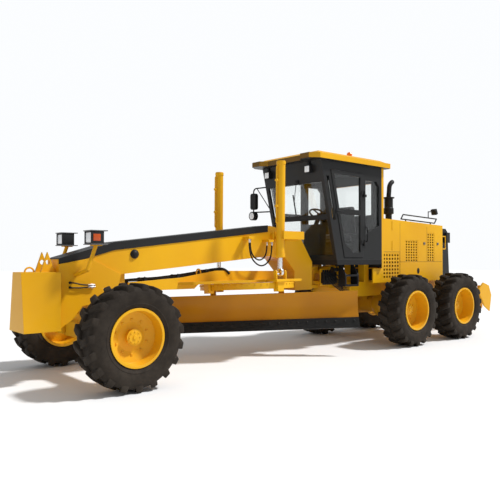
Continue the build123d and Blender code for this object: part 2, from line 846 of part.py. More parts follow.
with BuildPart() as handrails:
    rail_radius = 12
    hood_slope = (hood_front_top_z - hood_back_top_z) / (hood_front_x - hood_back_x)

    def hood_top(x):
        return hood_front_top_z - hood_slope * (hood_front_x - x)

    front_x, back_x = hood_front_x - 740, hood_back_x + 60
    for side in (1, -1):
        y = side * 560
        loop = [
            (front_x, y, hood_top(front_x) + 45),
            (back_x + 70, y, hood_top(back_x + 70) + 45),
            (back_x, y, hood_top(back_x) + 135),
            (front_x - 70, y, hood_top(front_x - 70) + 135),
        ]
        for i in range(4):
            rod(loop[i], loop[(i + 1) % 4], rail_radius)
            with Locations(loop[i]):
                Sphere(rail_radius)
        for x in (front_x - 150, back_x + 220):
            rod((x, y, hood_top(x) - 30), (x, y, hood_top(x) + 45), rail_radius)
    stalk_x = hood_back_x + 350
    stalk_top_z = hood_top(stalk_x) + 260
    rod((stalk_x, 560, hood_top(stalk_x) + 130), (stalk_x, 560, stalk_top_z), 9)
    with Locations((stalk_x, 560, stalk_top_z)):
        Sphere(9)
    rod((stalk_x, 560, stalk_top_z), (stalk_x - 140, 600, stalk_top_z), 9)
    with Locations(Location((stalk_x - 150, 600, stalk_top_z), (0, 25, 0))):
        Box(60, 110, 110)
    extrude(side_outline(hood_profile, hood_half_width), amount=2 * hood_half_width, mode=Mode.SUBTRACT)
save(handrails, "handrails")

# One mirror on the right-hand side, on a bent arm and a brace, with a round work lamp below it

with BuildPart() as mirrors:
    mirror_x = cab_front_high_x - 77
    mirror_y = -cab_half_width - 340
    post_y = -cab_half_width + 5
    arm_low_z, arm_high_z = cab_roof_z - 760, cab_roof_z - 320
    with BuildLine():
        FilletPolyline(
            (cab_front(arm_high_z) - 40, post_y, arm_high_z),
            (mirror_x, mirror_y, arm_high_z),
            (mirror_x, mirror_y, arm_high_z - 110),
            radius=70,
        )
    with BuildSketch(
        Plane(
            origin=(cab_front(arm_high_z) - 40, post_y, arm_high_z),
            z_dir=(mirror_x - cab_front(arm_high_z) + 40, mirror_y - post_y, 0),
        )
    ):
        Circle(12)
    sweep()
    rod((cab_front(arm_low_z) - 40, post_y, arm_low_z), (mirror_x, mirror_y, arm_low_z), 12)
    rod((cab_front(arm_low_z) - 40, post_y, arm_low_z), (mirror_x, mirror_y + 90, arm_high_z), 8)
    rod((mirror_x, mirror_y, arm_low_z - 40), (mirror_x, mirror_y, arm_high_z - 100), 12)
    with BuildSketch(Plane.YZ.offset(mirror_x - 45)):
        with Locations((mirror_y, arm_high_z - 240)):
            RectangleRounded(150, 300, 45)
    extrude(amount=65)
    with Locations(Location((mirror_x + 5, mirror_y, arm_low_z - 70), (0, 90, 0))):
        Cylinder(80, 90)
    extrude(side_outline(shell, cab_half_width), amount=2 * cab_half_width, mode=Mode.SUBTRACT)
save(mirrors, "mirrors")

with BuildPart() as cab_lamps:
    for y in (-550, 450):
        block(cab_front_high_x - 30, cab_front_high_x + 50, y - 60, y + 60, cab_roof_z - 200, cab_roof_z - 80)
        block(cab_front_high_x - 30, cab_front_high_x + 20, y - 20, y + 20, cab_roof_z - 90, cab_roof_z)
    extrude(side_outline(shell, cab_half_width), amount=2 * cab_half_width, mode=Mode.SUBTRACT)
save(cab_lamps, "cab_lamps")

with BuildPart() as beacon:
    beacon_x = cab_back_x + 30
    post_z = cab_roof_z + roof_height + roof_crown
    lens_z = post_z + 110
    outline = [
        (0, post_z),
        (45, post_z),
        (45, post_z + 8),
        (18, post_z + 12),
        (18, lens_z - 30),
        (66, lens_z - 25),
        (66, lens_z),
        (54, lens_z + 5),
        (50, lens_z + 95),
        (34, lens_z + 125),
        (0, lens_z + 135),
    ]
    with BuildSketch(Plane.XZ):
        with BuildLine():
            Polyline(*[(beacon_x + r, z) for r, z in outline], close=True)
        make_face()
    revolve(axis=Axis((beacon_x, 0, 0), (0, 0, 1)))
save(beacon, "beacon")

# Front frame

with BuildPart() as front_frame:
    beam = [
        (nose_plate_x, nose_plate_top_z),
        (knee_x, knee_top_z),
        (saddle_x, saddle_top_z),
        (leg_front_x - 100, saddle_top_z - 60),
        (leg_front_x - 100, saddle_low_z - 100),
        (saddle_x, saddle_low_z - 20),
        (knee_low_x, knee_low_z),
        (nose_plate_x, knee_low_z),
    ]
    extrude(side_outline(beam, beam_width / 2), amount=beam_width)
    head = [
        (nose_plate_x, nose_plate_bottom_z),
        (nose_plate_x, nose_plate_top_z - 60),
        (front_axle_x + 100, knee_top_z - 200),
        (knee_low_x, knee_low_z),
        (front_axle_x - 250, 1000),
        (front_axle_x + 200, 940),
        (front_axle_x + 330, 780),
    ]
    extrude(side_outline(head, head_width / 2), amount=head_width)
    leg = [
        (leg_low_front_x, leg_bottom_z),
        (leg_low_front_x, 1330),
        (leg_front_x, saddle_low_z),
        (leg_front_x - 80, saddle_top_z - 130),
        (leg_back_x + 260, saddle_top_z - 210),
        (leg_back_x, 1480),
        (leg_back_x, leg_bottom_z),
    ]
    extrude(side_outline(leg, leg_width / 2), amount=leg_width)
    for z in (hinge_low_z, hinge_high_z):
        block(hinge_x, leg_back_x + 10, -hinge_lug_radius, hinge_lug_radius, z, z + hinge_lug_thickness)
        with Locations((hinge_x, 0, z + hinge_lug_thickness / 2)):
            Cylinder(hinge_lug_radius, hinge_lug_thickness)
            Cylinder(hinge_pin_diameter / 2 + pin_clearance, hinge_lug_thickness, mode=Mode.SUBTRACT)
    block(ball_x - 10, ball_x + 110, -110, 110, ball_z - 90, knee_low_z + 60)
    with Locations((ball_x, 0, ball_z)):
        Sphere(ball_diameter / 2 + ball_clearance, mode=Mode.SUBTRACT)
save(front_frame, "front_frame")

with BuildPart() as nose_block:
    with BuildSketch(Plane.XY.offset(block_bottom_z)):
        with BuildLine():
            Polyline(
                (nose_plate_x, -block_width / 2),
                (nose_x, -block_width / 2 + 20),
                (nose_x, block_width / 2 - 20),
                (nose_plate_x, block_width / 2),
                close=True,
            )
        make_face()
    with BuildSketch(Plane.XY.offset(block_bottom_z + block_height)):
        with BuildLine():
            Polyline(
                (nose_plate_x, -block_width / 2),
                (nose_x, -block_front_top_width / 2),
                (nose_x, block_front_top_width / 2),
                (nose_plate_x, block_width / 2),
                close=True,
            )
        make_face()
    loft(ruled=True)
    top_z = block_bottom_z + block_height
    eye = [
        (nose_plate_x + 5, top_z - 20),
        (nose_plate_x + 195, top_z - 20),
        (nose_plate_x + 105, top_z + 245),
    ]
    for y in (-eye_plate_gap / 2, eye_plate_gap / 2 + eye_plate_thickness):
        extrude(side_outline(eye, y), amount=eye_plate_thickness)
    rod(
        (nose_plate_x + 102, -200, top_z + 120),
        (nose_plate_x + 102, 200, top_z + 120),
        eye_bore_diameter / 2,
        mode=Mode.SUBTRACT,
    )
    with Locations(Location((nose_plate_x + 290, 0, top_z), (90, 0, 0))):
        Torus(55, 11)
save(nose_block, "nose_block")

with BuildPart() as top_cover:
    over = [
        (nose_plate_x - 10, nose_plate_top_z + 2.8),
        (knee_x, knee_top_z),
        (saddle_x + 350, saddle_top_z - 350 * (saddle_top_z - knee_top_z) / (knee_x - saddle_x)),
    ]
    lifted = [(x, z + cover_thickness) for x, z in over]
    lowered = [(x, z - cover_depth) for x, z in over]
    half = beam_width / 2
    extrude(side_outline(lifted + lowered[::-1], half + cover_thickness), amount=2 * (half + cover_thickness))
    extrude(side_outline(beam, half), amount=beam_width, mode=Mode.SUBTRACT)
    extrude(side_outline(head, head_width / 2), amount=head_width, mode=Mode.SUBTRACT)
save(top_cover, "top_cover")

with BuildPart() as saddle:
    arm_x = lift_x - 400
    rod((arm_x, -lift_y, trunnion_z), (arm_x, lift_y, trunnion_z), 70)
    block(arm_x - 150, arm_x + 150, -beam_width / 2, beam_width / 2, 1400, 2300, mode=Mode.SUBTRACT)
    for side in (1, -1):
        y = side * lift_y
        block(arm_x, lift_x - barrel_diameter / 2 - 12, y - 60, y + 60, trunnion_z - 60, trunnion_z + 60)
        for ear in (-1, 1):
            ear_y = sorted((y + ear * 95, y + ear * 125))
            block(arm_x + 40, lift_x + 45, *ear_y, trunnion_z - 60, trunnion_z + 60)
            bore_y = y + ear * 110
            rod(
                (lift_x, bore_y - 20, trunnion_z),
                (lift_x, bore_y + 20, trunnion_z),
                trunnion_diameter / 2 + pin_clearance,
                mode=Mode.SUBTRACT,
            )
        block(arm_x + 20, arm_x + 100, y - 125, y + 125, trunnion_z - 60, trunnion_z + 60)
    for end in (0, -1):
        outer, inner = (route[end] for route in hose_routes.values())
        clamp_x = sorted((outer[0], inner[0]))
        block(
            clamp_x[0] - hose_diameter,
            clamp_x[1] + hose_diameter,
            beam_width / 2,
            outer[1] + hose_diameter,
            outer[2],
            outer[2] + hose_bracket_height,
        )
save(saddle, "saddle")

for name, route in hose_routes.items():
    points = [Vector(*point) for point in route]
    with BuildPart() as hose:
        with BuildLine():
            start = points[0]
            for before, corner, after in zip(points, points[1:], points[2:]):
                into, out = corner - before, after - corner
                tangent_length = 0.45 * min(into.length, out.length)
                arc_start = corner - into.normalized() * tangent_length
                arc_end = corner + out.normalized() * tangent_length
                Line(start, arc_start)
                TangentArc(arc_start, arc_end, tangent=into)
                print(name, "bend radius", round(tangent_length / tan(radians(into.get_angle(out) / 2))))
                start = arc_end
            Line(start, points[-1])
        with BuildSketch(Plane(origin=points[0], z_dir=points[1] - points[0])):
            Circle(hose_diameter / 2)
        sweep()
    save(hose, name)

lamp_x = front_axle_x + 140
lamp_y = 450
lamp_low_z, lamp_high_z = 1710, 1890
post_radius = 24

with BuildPart() as lamp_posts:
    for side in (1, -1):
        bend = (front_axle_x + 250, side * lamp_y, 1400)
        rod((front_axle_x + 300, side * (head_width / 2 - 5), 1330), bend, post_radius)
        with Locations(bend):
            Sphere(post_radius)
        rod(bend, (lamp_x, side * lamp_y, lamp_low_z), post_radius)
        with Locations((lamp_x, side * lamp_y, lamp_low_z - 6)):
            Box(120, 90, 12)
    extrude(side_outline(head, head_width / 2), amount=head_width, mode=Mode.SUBTRACT)
    block(
        lamp_x - 200, lamp_x + 200, -lamp_y - 200, lamp_y + 200, lamp_low_z, lamp_high_z, mode=Mode.SUBTRACT
    )
save(lamp_posts, "lamp_posts")

# Each lamp: a box between a top and a bottom guard plate, with a hollow for the lens in front

with BuildPart() as headlamps:
    for side in (1, -1):
        y = side * lamp_y
        block(lamp_x - 60, lamp_x + 110, y - 105, y + 105, lamp_low_z, lamp_high_z)
        for z in (lamp_low_z, lamp_high_z - 12):
            block(lamp_x - 150, lamp_x + 150, y - 115, y + 115, z, z + 12)
        block(
            lamp_x + 70, lamp_x + 111, y - 85, y + 85, lamp_low_z + 25, lamp_high_z - 25, mode=Mode.SUBTRACT
        )
save(headlamps, "headlamps")

# Front axle, lean brackets, knuckles

with BuildPart() as front_axle:
    half_depth = axle_beam_depth / 2
    reach = lean_pin_y - 90
    block(
        front_axle_x - half_depth,
        front_axle_x + half_depth,
        -reach,
        reach,
        lean_pin_z - axle_beam_height / 2,
        lean_pin_z + axle_beam_height / 2,
    )
    for side in (1, -1):
        span = sorted((side * (reach - 60), side * lean_pin_y))
        block(front_axle_x - 55, front_axle_x + 55, *span, lean_pin_z - 60, lean_pin_z + 60)
        rod(
            (front_axle_x - 160, side * lean_pin_y, lean_pin_z),
            (front_axle_x + 160, side * lean_pin_y, lean_pin_z),
            lean_pin_diameter / 2,
        )
        with Locations((front_axle_x, side * lean_pin_y, lean_pin_z)):
            Cylinder(60, 110, rotation=(0, 90, 0))
    block(front_axle_x - 80, front_axle_x + 80, -head_width / 2, head_width / 2, lean_pin_z, 1000)
    extrude(side_outline(head, head_width), amount=2 * head_width, mode=Mode.SUBTRACT)
save(front_axle, "front_axle")


def make_bracket(side, word):
    y = side * lean_pin_y
    with BuildPart() as bracket:
        for x in (front_axle_x - 155, front_axle_x + 65):
            span = sorted((y - side * 70, side * (kingpin_y - 60)))
            block(x, x + 90, *span, lean_pin_z - 75, lean_pin_z + 75)
        rod(
            (front_axle_x - 200, y, lean_pin_z),
            (front_axle_x + 200, y, lean_pin_z),
            lean_pin_diameter / 2 + pin_clearance,
            mode=Mode.SUBTRACT,
        )
        span = sorted((side * (lean_pin_y + 70), side * (kingpin_y - 72)))
        block(front_axle_x - 155, front_axle_x + 155, *span, axle_z - 125, axle_z + 125)
        for z in (axle_z - 150, axle_z + 90):
            span = sorted((side * (lean_pin_y + 70), side * kingpin_y))
            block(front_axle_x - 60, front_axle_x + 60, *span, z, z + 60)
            with Locations((front_axle_x, side * kingpin_y, z + 30)):
                Cylinder(60, 60)
        rod(
            (front_axle_x, side * kingpin_y, axle_z - 150),
            (front_axle_x, side * kingpin_y, axle_z + 150),
            kingpin_diameter / 2,
        )
    save(bracket, f"lean_bracket_{word}")


def make_knuckle(side, word):
    y = side * kingpin_y
    start, end = spindle_span(front_disc_inset)
    with BuildPart() as knuckle:
        with Locations((front_axle_x, y, axle_z)):
            Cylinder(62, 165)
        rod((front_axle_x, y, axle_z), (front_axle_x, side * (start - 10), axle_z), 70)
        rod((front_axle_x, y, axle_z), (front_axle_x, side * end, axle_z), spindle_diameter / 2)
        with Locations((front_axle_x, y, axle_z)):
            Cylinder(kingpin_diameter / 2 + pin_clearance, 400, mode=Mode.SUBTRACT)
    save(knuckle, f"knuckle_{word}")


for side, word in ((1, "left"), (-1, "right")):
    make_bracket(side, word)
    make_knuckle(side, word)

# Drawbar, circle and blade, all rolled about the front ball

roll = Location((ball_x, 0, ball_z), (drawbar_roll, 0, 0)) * Location((-ball_x, 0, -ball_z))


def rolled(point):
    return (roll * Location(point)).position


def rolled_plane(plane):
    return Plane(roll * plane.location)


blade_plane = rolled_plane(
    Plane(
        origin=(circle_x, 0, 0),
        x_dir=(cos(radians(blade_turn)), -sin(radians(blade_turn)), 0),
        z_dir=(0, 0, 1),
    )
)
blade_side = Plane(origin=blade_plane.origin, x_dir=blade_plane.y_dir, z_dir=blade_plane.x_dir)
plate_z = circle_z + circle_height + running_gap

eye_z = plate_z + drawbar_plate_thickness + lift_eye_height
neck_x = ball_x - 850
plate_corner = 90

with BuildPart() as drawbar:
    with BuildSketch(rolled_plane(Plane.XY.offset(plate_z))) as plate_outline:
        with BuildLine():
            Polyline(
                (circle_x - 640, -600),
                (circle_x + 450, -600),
                (neck_x - 130, -320),
                (neck_x, -110),
                (ball_x - 60, -80),
                (ball_x - 60, 80),
                (neck_x, 110),
                (neck_x - 130, 320),
                (circle_x + 450, 600),
                (circle_x - 640, 600),
                close=True,
            )
        make_face()
        fillet(plate_outline.vertices().filter_by_position(Axis.X, circle_x, neck_x - 100), plate_corner)
        for side in (1, -1):
            with Locations((lift_x, side * (lift_y - 90))):
                Rectangle(2 * lift_ear_reach + 40, 300)
    extrude(amount=drawbar_plate_thickness)
    spine = [
        (ball_x - 60, plate_z - 60),
        (circle_x + 1100, plate_z - 60),
        (circle_x + 1000, plate_z + 20),
        (circle_x - 500, plate_z + 20),
        (circle_x - 500, plate_z + 180),
        (circle_x + 700, plate_z + 200),
        (circle_x + 1300, plate_z + 110),
        (ball_x - 60, plate_z + 60),
    ]
    with BuildSketch(rolled_plane(Plane.XZ.offset(-120))):
        with BuildLine():
            Polyline(*spine, close=True)
        make_face()
    extrude(amount=240)
    with Locations((ball_x, 0, ball_z)):
        Sphere(ball_diameter / 2)
    with BuildSketch(rolled_plane(Plane.YZ.offset(ball_x - 70))):
        with Locations((0, ball_z)):
            Circle(0.3 * ball_diameter)
    extrude(amount=40)
    for side in (1, -1):
        for x in (lift_x - lift_ear_reach, lift_x + lift_ear_reach - lift_ear_thickness):
            with BuildSketch(rolled_plane(Plane.YZ.offset(x))):
                with Locations((side * lift_y, eye_z)):
                    Circle(lift_ear_radius)
                with Locations((side * lift_y, eye_z - lift_eye_height / 2 - 2)):
                    Rectangle(2 * lift_ear_radius, lift_eye_height + 4)
            extrude(amount=lift_ear_thickness)
        with BuildSketch(rolled_plane(Plane.YZ.offset(lift_x - lift_ear_reach))):
            with Locations((side * lift_y, eye_z)):
                Circle(lift_pin_diameter / 2)
        extrude(amount=2 * lift_ear_reach)
    ring_edge = circle_diameter / 2
    for turn in (0, 90, -90):
        around = Location((circle_x, 0, 0), (0, 0, turn))
        with BuildSketch(rolled_plane(Plane(around * Plane.XY.offset(circle_z - 45).location))):
            with Locations((ring_edge + 6 + 22, 0)):
                Rectangle(44, 120)
        extrude(amount=plate_z - circle_z + 50)
        with BuildSketch(rolled_plane(Plane(around * Plane.XY.offset(circle_z - 45).location))):
            with Locations((ring_edge - 45 + 40, 0)):
                Rectangle(90, 120)
        extrude(amount=45 - pin_clearance)
save(drawbar, "drawbar")

# Blade pivot on the circle's arms, in blade coordinates (along, forward, up)
arm_x_offset = 560
arm_width = 90
pivot_y = -260
pivot_z = blade_bottom_z + 260
pivot_pin_diameter = 60

with BuildPart() as circle:
    with BuildSketch(rolled_plane(Plane.XY.offset(circle_z))):
        with Locations((circle_x, 0)):
            Circle(circle_diameter / 2)
            Circle(circle_diameter / 2 - circle_ring_width, mode=Mode.SUBTRACT)
            with PolarLocations(circle_diameter / 2 - circle_ring_width, tooth_count):
                Trapezoid(tooth_width, 2 * tooth_height, 78, rotation=90)
    extrude(amount=circle_height)
    for x in (-arm_x_offset, arm_x_offset):
        with BuildSketch(blade_side.offset(x - arm_width / 2)):
            with Locations((pivot_y, pivot_z)):
                Circle(75)
            with BuildLine():
                Polyline(
                    (pivot_y - 74, pivot_z),
                    (pivot_y + 74, pivot_z),
                    (pivot_y + 60, circle_z + 50),
                    (pivot_y - 70, circle_z + 50),
                    close=True,
                )
            make_face()
            with Locations((pivot_y, pivot_z)):
                Circle(pivot_pin_diameter / 2 + pin_clearance, mode=Mode.SUBTRACT)
        extrude(amount=arm_width)
save(circle, "circle")

# Blade profile in blade coordinates (forward, up)
foot = (95, blade_bottom_z + 50)
seat_top = (60, blade_bottom_z + 160)
belly = (22, blade_bottom_z + 370)
crest = (80, blade_bottom_z + blade_height)
edge_tip = (111, blade_bottom_z)
rail_low_z = blade_bottom_z + 150
rail_high_z = blade_bottom_z + 420
rail_size = 50
rail_back_y = -60
shift_y = -110
shift_z = blade_bottom_z + 300
shift_barrel_diameter = 90
shift_rod_diameter = 50

with BuildPart() as moldboard:
    with BuildSketch(blade_side.offset(blade_offset - blade_length / 2)):
        with BuildLine():
            Line(foot, seat_top)
            ThreePointArc(seat_top, belly, crest)
            Line(crest, (crest[0] - blade_thickness, crest[1] + 4))
            ThreePointArc(
                (crest[0] - blade_thickness, crest[1] + 4),
                (belly[0] - blade_thickness, belly[1]),
                (seat_top[0] - blade_thickness, seat_top[1] - 4),
            )
            Line((seat_top[0] - blade_thickness, seat_top[1] - 4), (foot[0] - blade_thickness, foot[1]))
            Line((foot[0] - blade_thickness, foot[1]), foot)
        make_face()
    extrude(amount=blade_length)
    for z, front_y in ((rail_low_z, 42), (rail_high_z, 20)):
        with BuildSketch(blade_side.offset(-1400)):
            with Locations(((rail_back_y + front_y) / 2, z + rail_size / 2)):
                Rectangle(front_y - rail_back_y, rail_size)
        extrude(amount=2800)
    with BuildSketch(blade_side.offset(1260)):
        with Locations(((shift_y + 20) / 2 - 20, shift_z)):
            Rectangle(60 - shift_y, 90)
    extrude(amount=40)
save(moldboard, "moldboard")

with BuildPart() as cutting_edge:
    with BuildSketch(blade_side.offset(blade_offset - blade_length / 2)):
        with BuildLine():
            Polyline(
                edge_tip,
                seat_top,
                (seat_top[0] + 0.953 * edge_thickness, seat_top[1] + 0.303 * edge_thickness),
                (edge_tip[0] + 0.953 * edge_thickness, edge_tip[1] + 0.303 * edge_thickness),
                close=True,
            )
        make_face()
    extrude(amount=blade_length)
save(cutting_edge, "cutting_edge")

with BuildPart() as shift_rod:
    with BuildSketch(blade_side.offset(-250)):
        with Locations((shift_y, shift_z)):
            Circle(shift_rod_diameter / 2)
    extrude(amount=1260 + 250)
save(shift_rod, "shift_rod")

with BuildPart() as blade_carrier:
    for x in (-500, 440):
        with BuildSketch(blade_side.offset(x)):
            with Locations((pivot_y, pivot_z)):
                Circle(75)
            with BuildLine():
                Polyline(
                    (pivot_y, pivot_z + 70),
                    (rail_back_y - 5, rail_high_z + rail_size + 30),
                    (rail_back_y - 5, rail_low_z - 30),
                    (pivot_y, pivot_z - 70),
                    close=True,
                )
            make_face()
            for z in (rail_low_z - 35, rail_high_z + rail_size + 5):
                with Locations((rail_back_y - 20, z + 15)):
                    Rectangle(80, 30)
        extrude(amount=60)
    for x in (-620, 440):
        with BuildSketch(blade_side.offset(x)):
            with Locations((pivot_y, pivot_z)):
                Circle(pivot_pin_diameter / 2)
        extrude(amount=180)
    with BuildSketch(blade_side.offset(-800)):
        with Locations((shift_y, shift_z)):
            Circle(shift_barrel_diameter / 2)
    extrude(amount=1320)
    with BuildSketch(blade_side.offset(-780)):
        with Locations((shift_y, shift_z)):
            Circle(shift_rod_diameter / 2 + pin_clearance)
    extrude(amount=1400, mode=Mode.SUBTRACT)
save(blade_carrier, "blade_carrier")

# Blade lift cylinders


def make_lift(side, word):
    trunnion = Vector(lift_x, side * lift_y, trunnion_z)
    eye = rolled((lift_x, side * lift_y, eye_z))
    down = (eye - trunnion).normalized()
    reach = (eye - trunnion).length
    above = lift_top_z - trunnion_z
    line = Plane(origin=trunnion, x_dir=(1, 0, 0), z_dir=down)
    with BuildPart() as barrel:
        with BuildSketch(line.offset(-above)):
            Circle(barrel_diameter / 2)
        extrude(amount=above + barrel_below)
        rod(
            (lift_x, side * lift_y - 125, trunnion_z),
            (lift_x, side * lift_y + 125, trunnion_z),
            trunnion_diameter / 2,
        )
        with BuildSketch(line.offset(-above + 60)):
            Circle(lift_rod_diameter / 2 + pin_clearance)
        extrude(amount=above + barrel_below, mode=Mode.SUBTRACT)
    save(barrel, f"lift_barrel_{word}")
    with BuildPart() as piston_rod:
        with BuildSketch(line.offset(-650)):
            Circle(lift_rod_diameter / 2)
        extrude(amount=650 + reach - lift_eye_bore / 2 - 8)
        with Locations(Plane(origin=eye, x_dir=down, z_dir=(1, 0, 0)).location):
            Cylinder(lift_eye_diameter / 2, lift_eye_width)
            Cylinder(lift_eye_bore / 2, lift_eye_width, mode=Mode.SUBTRACT)
    save(piston_rod, f"lift_rod_{word}")


make_lift(1, "left")
make_lift(-1, "right")

# Ripper, carried raised at rest

with BuildPart() as ripper:
    for side in (1, -1):
        for edge in (-1, 1):
            y = side * ripper_arm_y + edge * 92
            plate = [
                (ripper_pin_x + 55, ripper_pin_z - 50),
                (ripper_pin_x + 55, ripper_pin_z + 50),
                (ripper_beam_x, ripper_beam_z + 110),
                (ripper_beam_x, ripper_beam_z - 110),
            ]
            extrude(side_outline(plate, y + 15), amount=30)
            rod(
                (ripper_pin_x, y - 20, ripper_pin_z),
                (ripper_pin_x, y + 20, ripper_pin_z),
                ripper_pin_diameter / 2 + pin_clearance,
                mode=Mode.SUBTRACT,
            )
    block(
        ripper_beam_x - 90,
        ripper_beam_x + 90,
        -ripper_half_width,
        ripper_half_width,
        ripper_beam_z - 100,
        ripper_beam_z + 100,
    )
    leaf = [
        (ripper_beam_x + 280, ripper_beam_z + 60),
        (ripper_beam_x + 60, ripper_beam_z + 220),
        (ripper_beam_x - 170, ripper_beam_z + 150),
        (tail_x, ripper_beam_z - 60),
        (ripper_beam_x - 200, ripper_beam_z - 400),
        (ripper_beam_x + 20, ripper_beam_z - 280),
    ]
    for y in (-ripper_half_width + 30, ripper_half_width):
        extrude(side_outline(leaf, y), amount=30)
    for i in range(shank_count):
        y = (i - (shank_count - 1) / 2) * 1.6 * ripper_half_width / (shank_count - 1)
        shank = [
            (ripper_beam_x - 150, ripper_beam_z + 150),
            (ripper_beam_x - 40, ripper_beam_z + 150),
            (ripper_beam_x - 60, ripper_beam_z - 250),
            (ripper_beam_x + 60, ripper_beam_z - 400),
            (ripper_beam_x - 150, ripper_beam_z - 330),
        ]
        extrude(side_outline(shank, y + 30), amount=60)
save(ripper, "ripper")
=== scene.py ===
import bpy
import bmesh
import json
from math import cos, pi, radians, sin, tau
from mathutils import Matrix, Vector


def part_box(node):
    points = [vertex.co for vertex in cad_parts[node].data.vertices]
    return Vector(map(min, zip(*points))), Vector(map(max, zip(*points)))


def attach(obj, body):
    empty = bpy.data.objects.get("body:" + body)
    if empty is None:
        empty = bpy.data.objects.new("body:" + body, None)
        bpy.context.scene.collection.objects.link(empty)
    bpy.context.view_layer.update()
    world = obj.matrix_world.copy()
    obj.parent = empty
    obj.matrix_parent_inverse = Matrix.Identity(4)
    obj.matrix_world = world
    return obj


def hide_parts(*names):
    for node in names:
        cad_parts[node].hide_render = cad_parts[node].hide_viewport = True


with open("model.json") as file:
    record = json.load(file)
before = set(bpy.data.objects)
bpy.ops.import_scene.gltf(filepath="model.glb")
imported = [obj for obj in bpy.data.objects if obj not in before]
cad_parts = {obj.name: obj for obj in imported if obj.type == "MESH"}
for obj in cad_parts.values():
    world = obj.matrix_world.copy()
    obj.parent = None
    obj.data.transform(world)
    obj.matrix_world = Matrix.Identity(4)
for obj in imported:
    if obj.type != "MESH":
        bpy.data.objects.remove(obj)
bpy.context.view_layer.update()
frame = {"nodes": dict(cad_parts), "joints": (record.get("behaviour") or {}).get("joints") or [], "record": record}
nodes = frame["nodes"]
jointNamed = {joint["name"]: joint for joint in frame["joints"]}
bothSides = (1, -1)
print("frame loaded:", len(nodes), "nodes")


def placeObject(name, data):
    made = bpy.data.objects.new(name, data)
    bpy.context.scene.collection.objects.link(made)
    return made


def aimAlong(thing, direction):
    thing.rotation_euler = Vector(direction).to_track_quat("-Z", "Y").to_euler()


# Camera at the photograph's viewing angle
shot = {
    "place": (7.218, 7.168, 1.550),
    "aim": (-0.64084, -0.76756, 0.01347),
    "lens": 41.69,
    "sensor": 36.0,
    "farClip": 200.0,
}
cameraData = bpy.data.cameras.new("photoCamera")
cameraData.lens = shot["lens"]
cameraData.sensor_width = shot["sensor"]
cameraData.clip_end = shot["farClip"]
camera = placeObject("photoCamera", cameraData)
camera.location = shot["place"]
aimAlong(camera, shot["aim"])
bpy.context.scene.camera = camera

# Shader building blocks


def feed(tree, node, inputs):
    # Sockets are linked, plain values are set
    for key, value in inputs.items():
        if isinstance(value, bpy.types.NodeSocket):
            tree.links.new(value, node.inputs[key])
        else:
            node.inputs[key].default_value = value


def addNode(tree, kind, inputs=None, **settings):
    node = tree.nodes.new(kind)
    for key, value in settings.items():
        setattr(node, key, value)
    feed(tree, node, inputs or {})
    return node


def startGroup(name, inputs, outputs):
    tree = bpy.data.node_groups.new(name, "ShaderNodeTree")
    for label, value in inputs.items():
        socket = tree.interface.new_socket(label, in_out="INPUT", socket_type="NodeSocketFloat")
        socket.default_value = value
    for label, kind in outputs.items():
        tree.interface.new_socket(label, in_out="OUTPUT", socket_type=kind)
    return tree, tree.nodes.new("NodeGroupInput"), tree.nodes.new("NodeGroupOutput")


def rangeNode(tree, source, low, high, toLow=0.0, toHigh=1.0):
    limits = {"From Min": low, "From Max": high, "To Min": toLow, "To Max": toHigh}
    return addNode(tree, "ShaderNodeMapRange", {"Value": source, **limits}).outputs["Result"]


def mathNode(tree, operation, first, second):
    return addNode(tree, "ShaderNodeMath", {0: first, 1: second}, operation=operation).outputs[0]


def placeNode(tree, output="Object"):
    return addNode(tree, "ShaderNodeTexCoord").outputs[output]


def axisNode(tree, vector, axis):
    return addNode(tree, "ShaderNodeSeparateXYZ", {0: vector}).outputs[axis]


def noiseNode(tree, scale, detail=4.0, roughness=0.55, stretch=(1, 1, 1)):
    mapping = addNode(tree, "ShaderNodeMapping", {"Vector": placeNode(tree), "Scale": stretch})
    form = {"Scale": scale, "Detail": detail, "Roughness": roughness}
    noise = addNode(tree, "ShaderNodeTexNoise", {"Vector": mapping.outputs["Vector"], **form})
    return noise.outputs["Fac"]


def waveNode(tree, form, **settings):
    return addNode(tree, "ShaderNodeTexWave", {"Vector": placeNode(tree), **form}, **settings).outputs["Fac"]


def mixColour(tree, factor, first, second):
    ends = [(*end, 1.0) if isinstance(end, tuple) else end for end in (first, second)]
    return addNode(tree, "ShaderNodeMix", {0: factor, 6: ends[0], 7: ends[1]}, data_type="RGBA").outputs[2]


def bumpNode(tree, height, strength, normal=None, distance=0.002):
    bump = addNode(tree, "ShaderNodeBump", {"Height": height, "Strength": strength, "Distance": distance})
    if normal is not None:
        tree.links.new(normal, bump.inputs["Normal"])
    return bump.outputs["Normal"]


def makeEdgeGroup():
    # Rounds the look of sharp plate edges and masks them for wear
    outputs = {"Normal": "NodeSocketVector", "Edge": "NodeSocketFloat"}
    tree, start, end = startGroup("plateEdges", {"Radius": 0.006}, outputs)
    radius = start.outputs["Radius"]
    rounded = addNode(tree, "ShaderNodeBevel", {"Radius": radius}, samples=4).outputs["Normal"]
    flat = addNode(tree, "ShaderNodeNewGeometry").outputs["Normal"]
    dot = addNode(tree, "ShaderNodeVectorMath", {0: rounded, 1: flat}, operation="DOT_PRODUCT")
    feed(tree, end, {"Normal": rounded, "Edge": rangeNode(tree, dot.outputs["Value"], 0.98, 0.75)})
    return tree


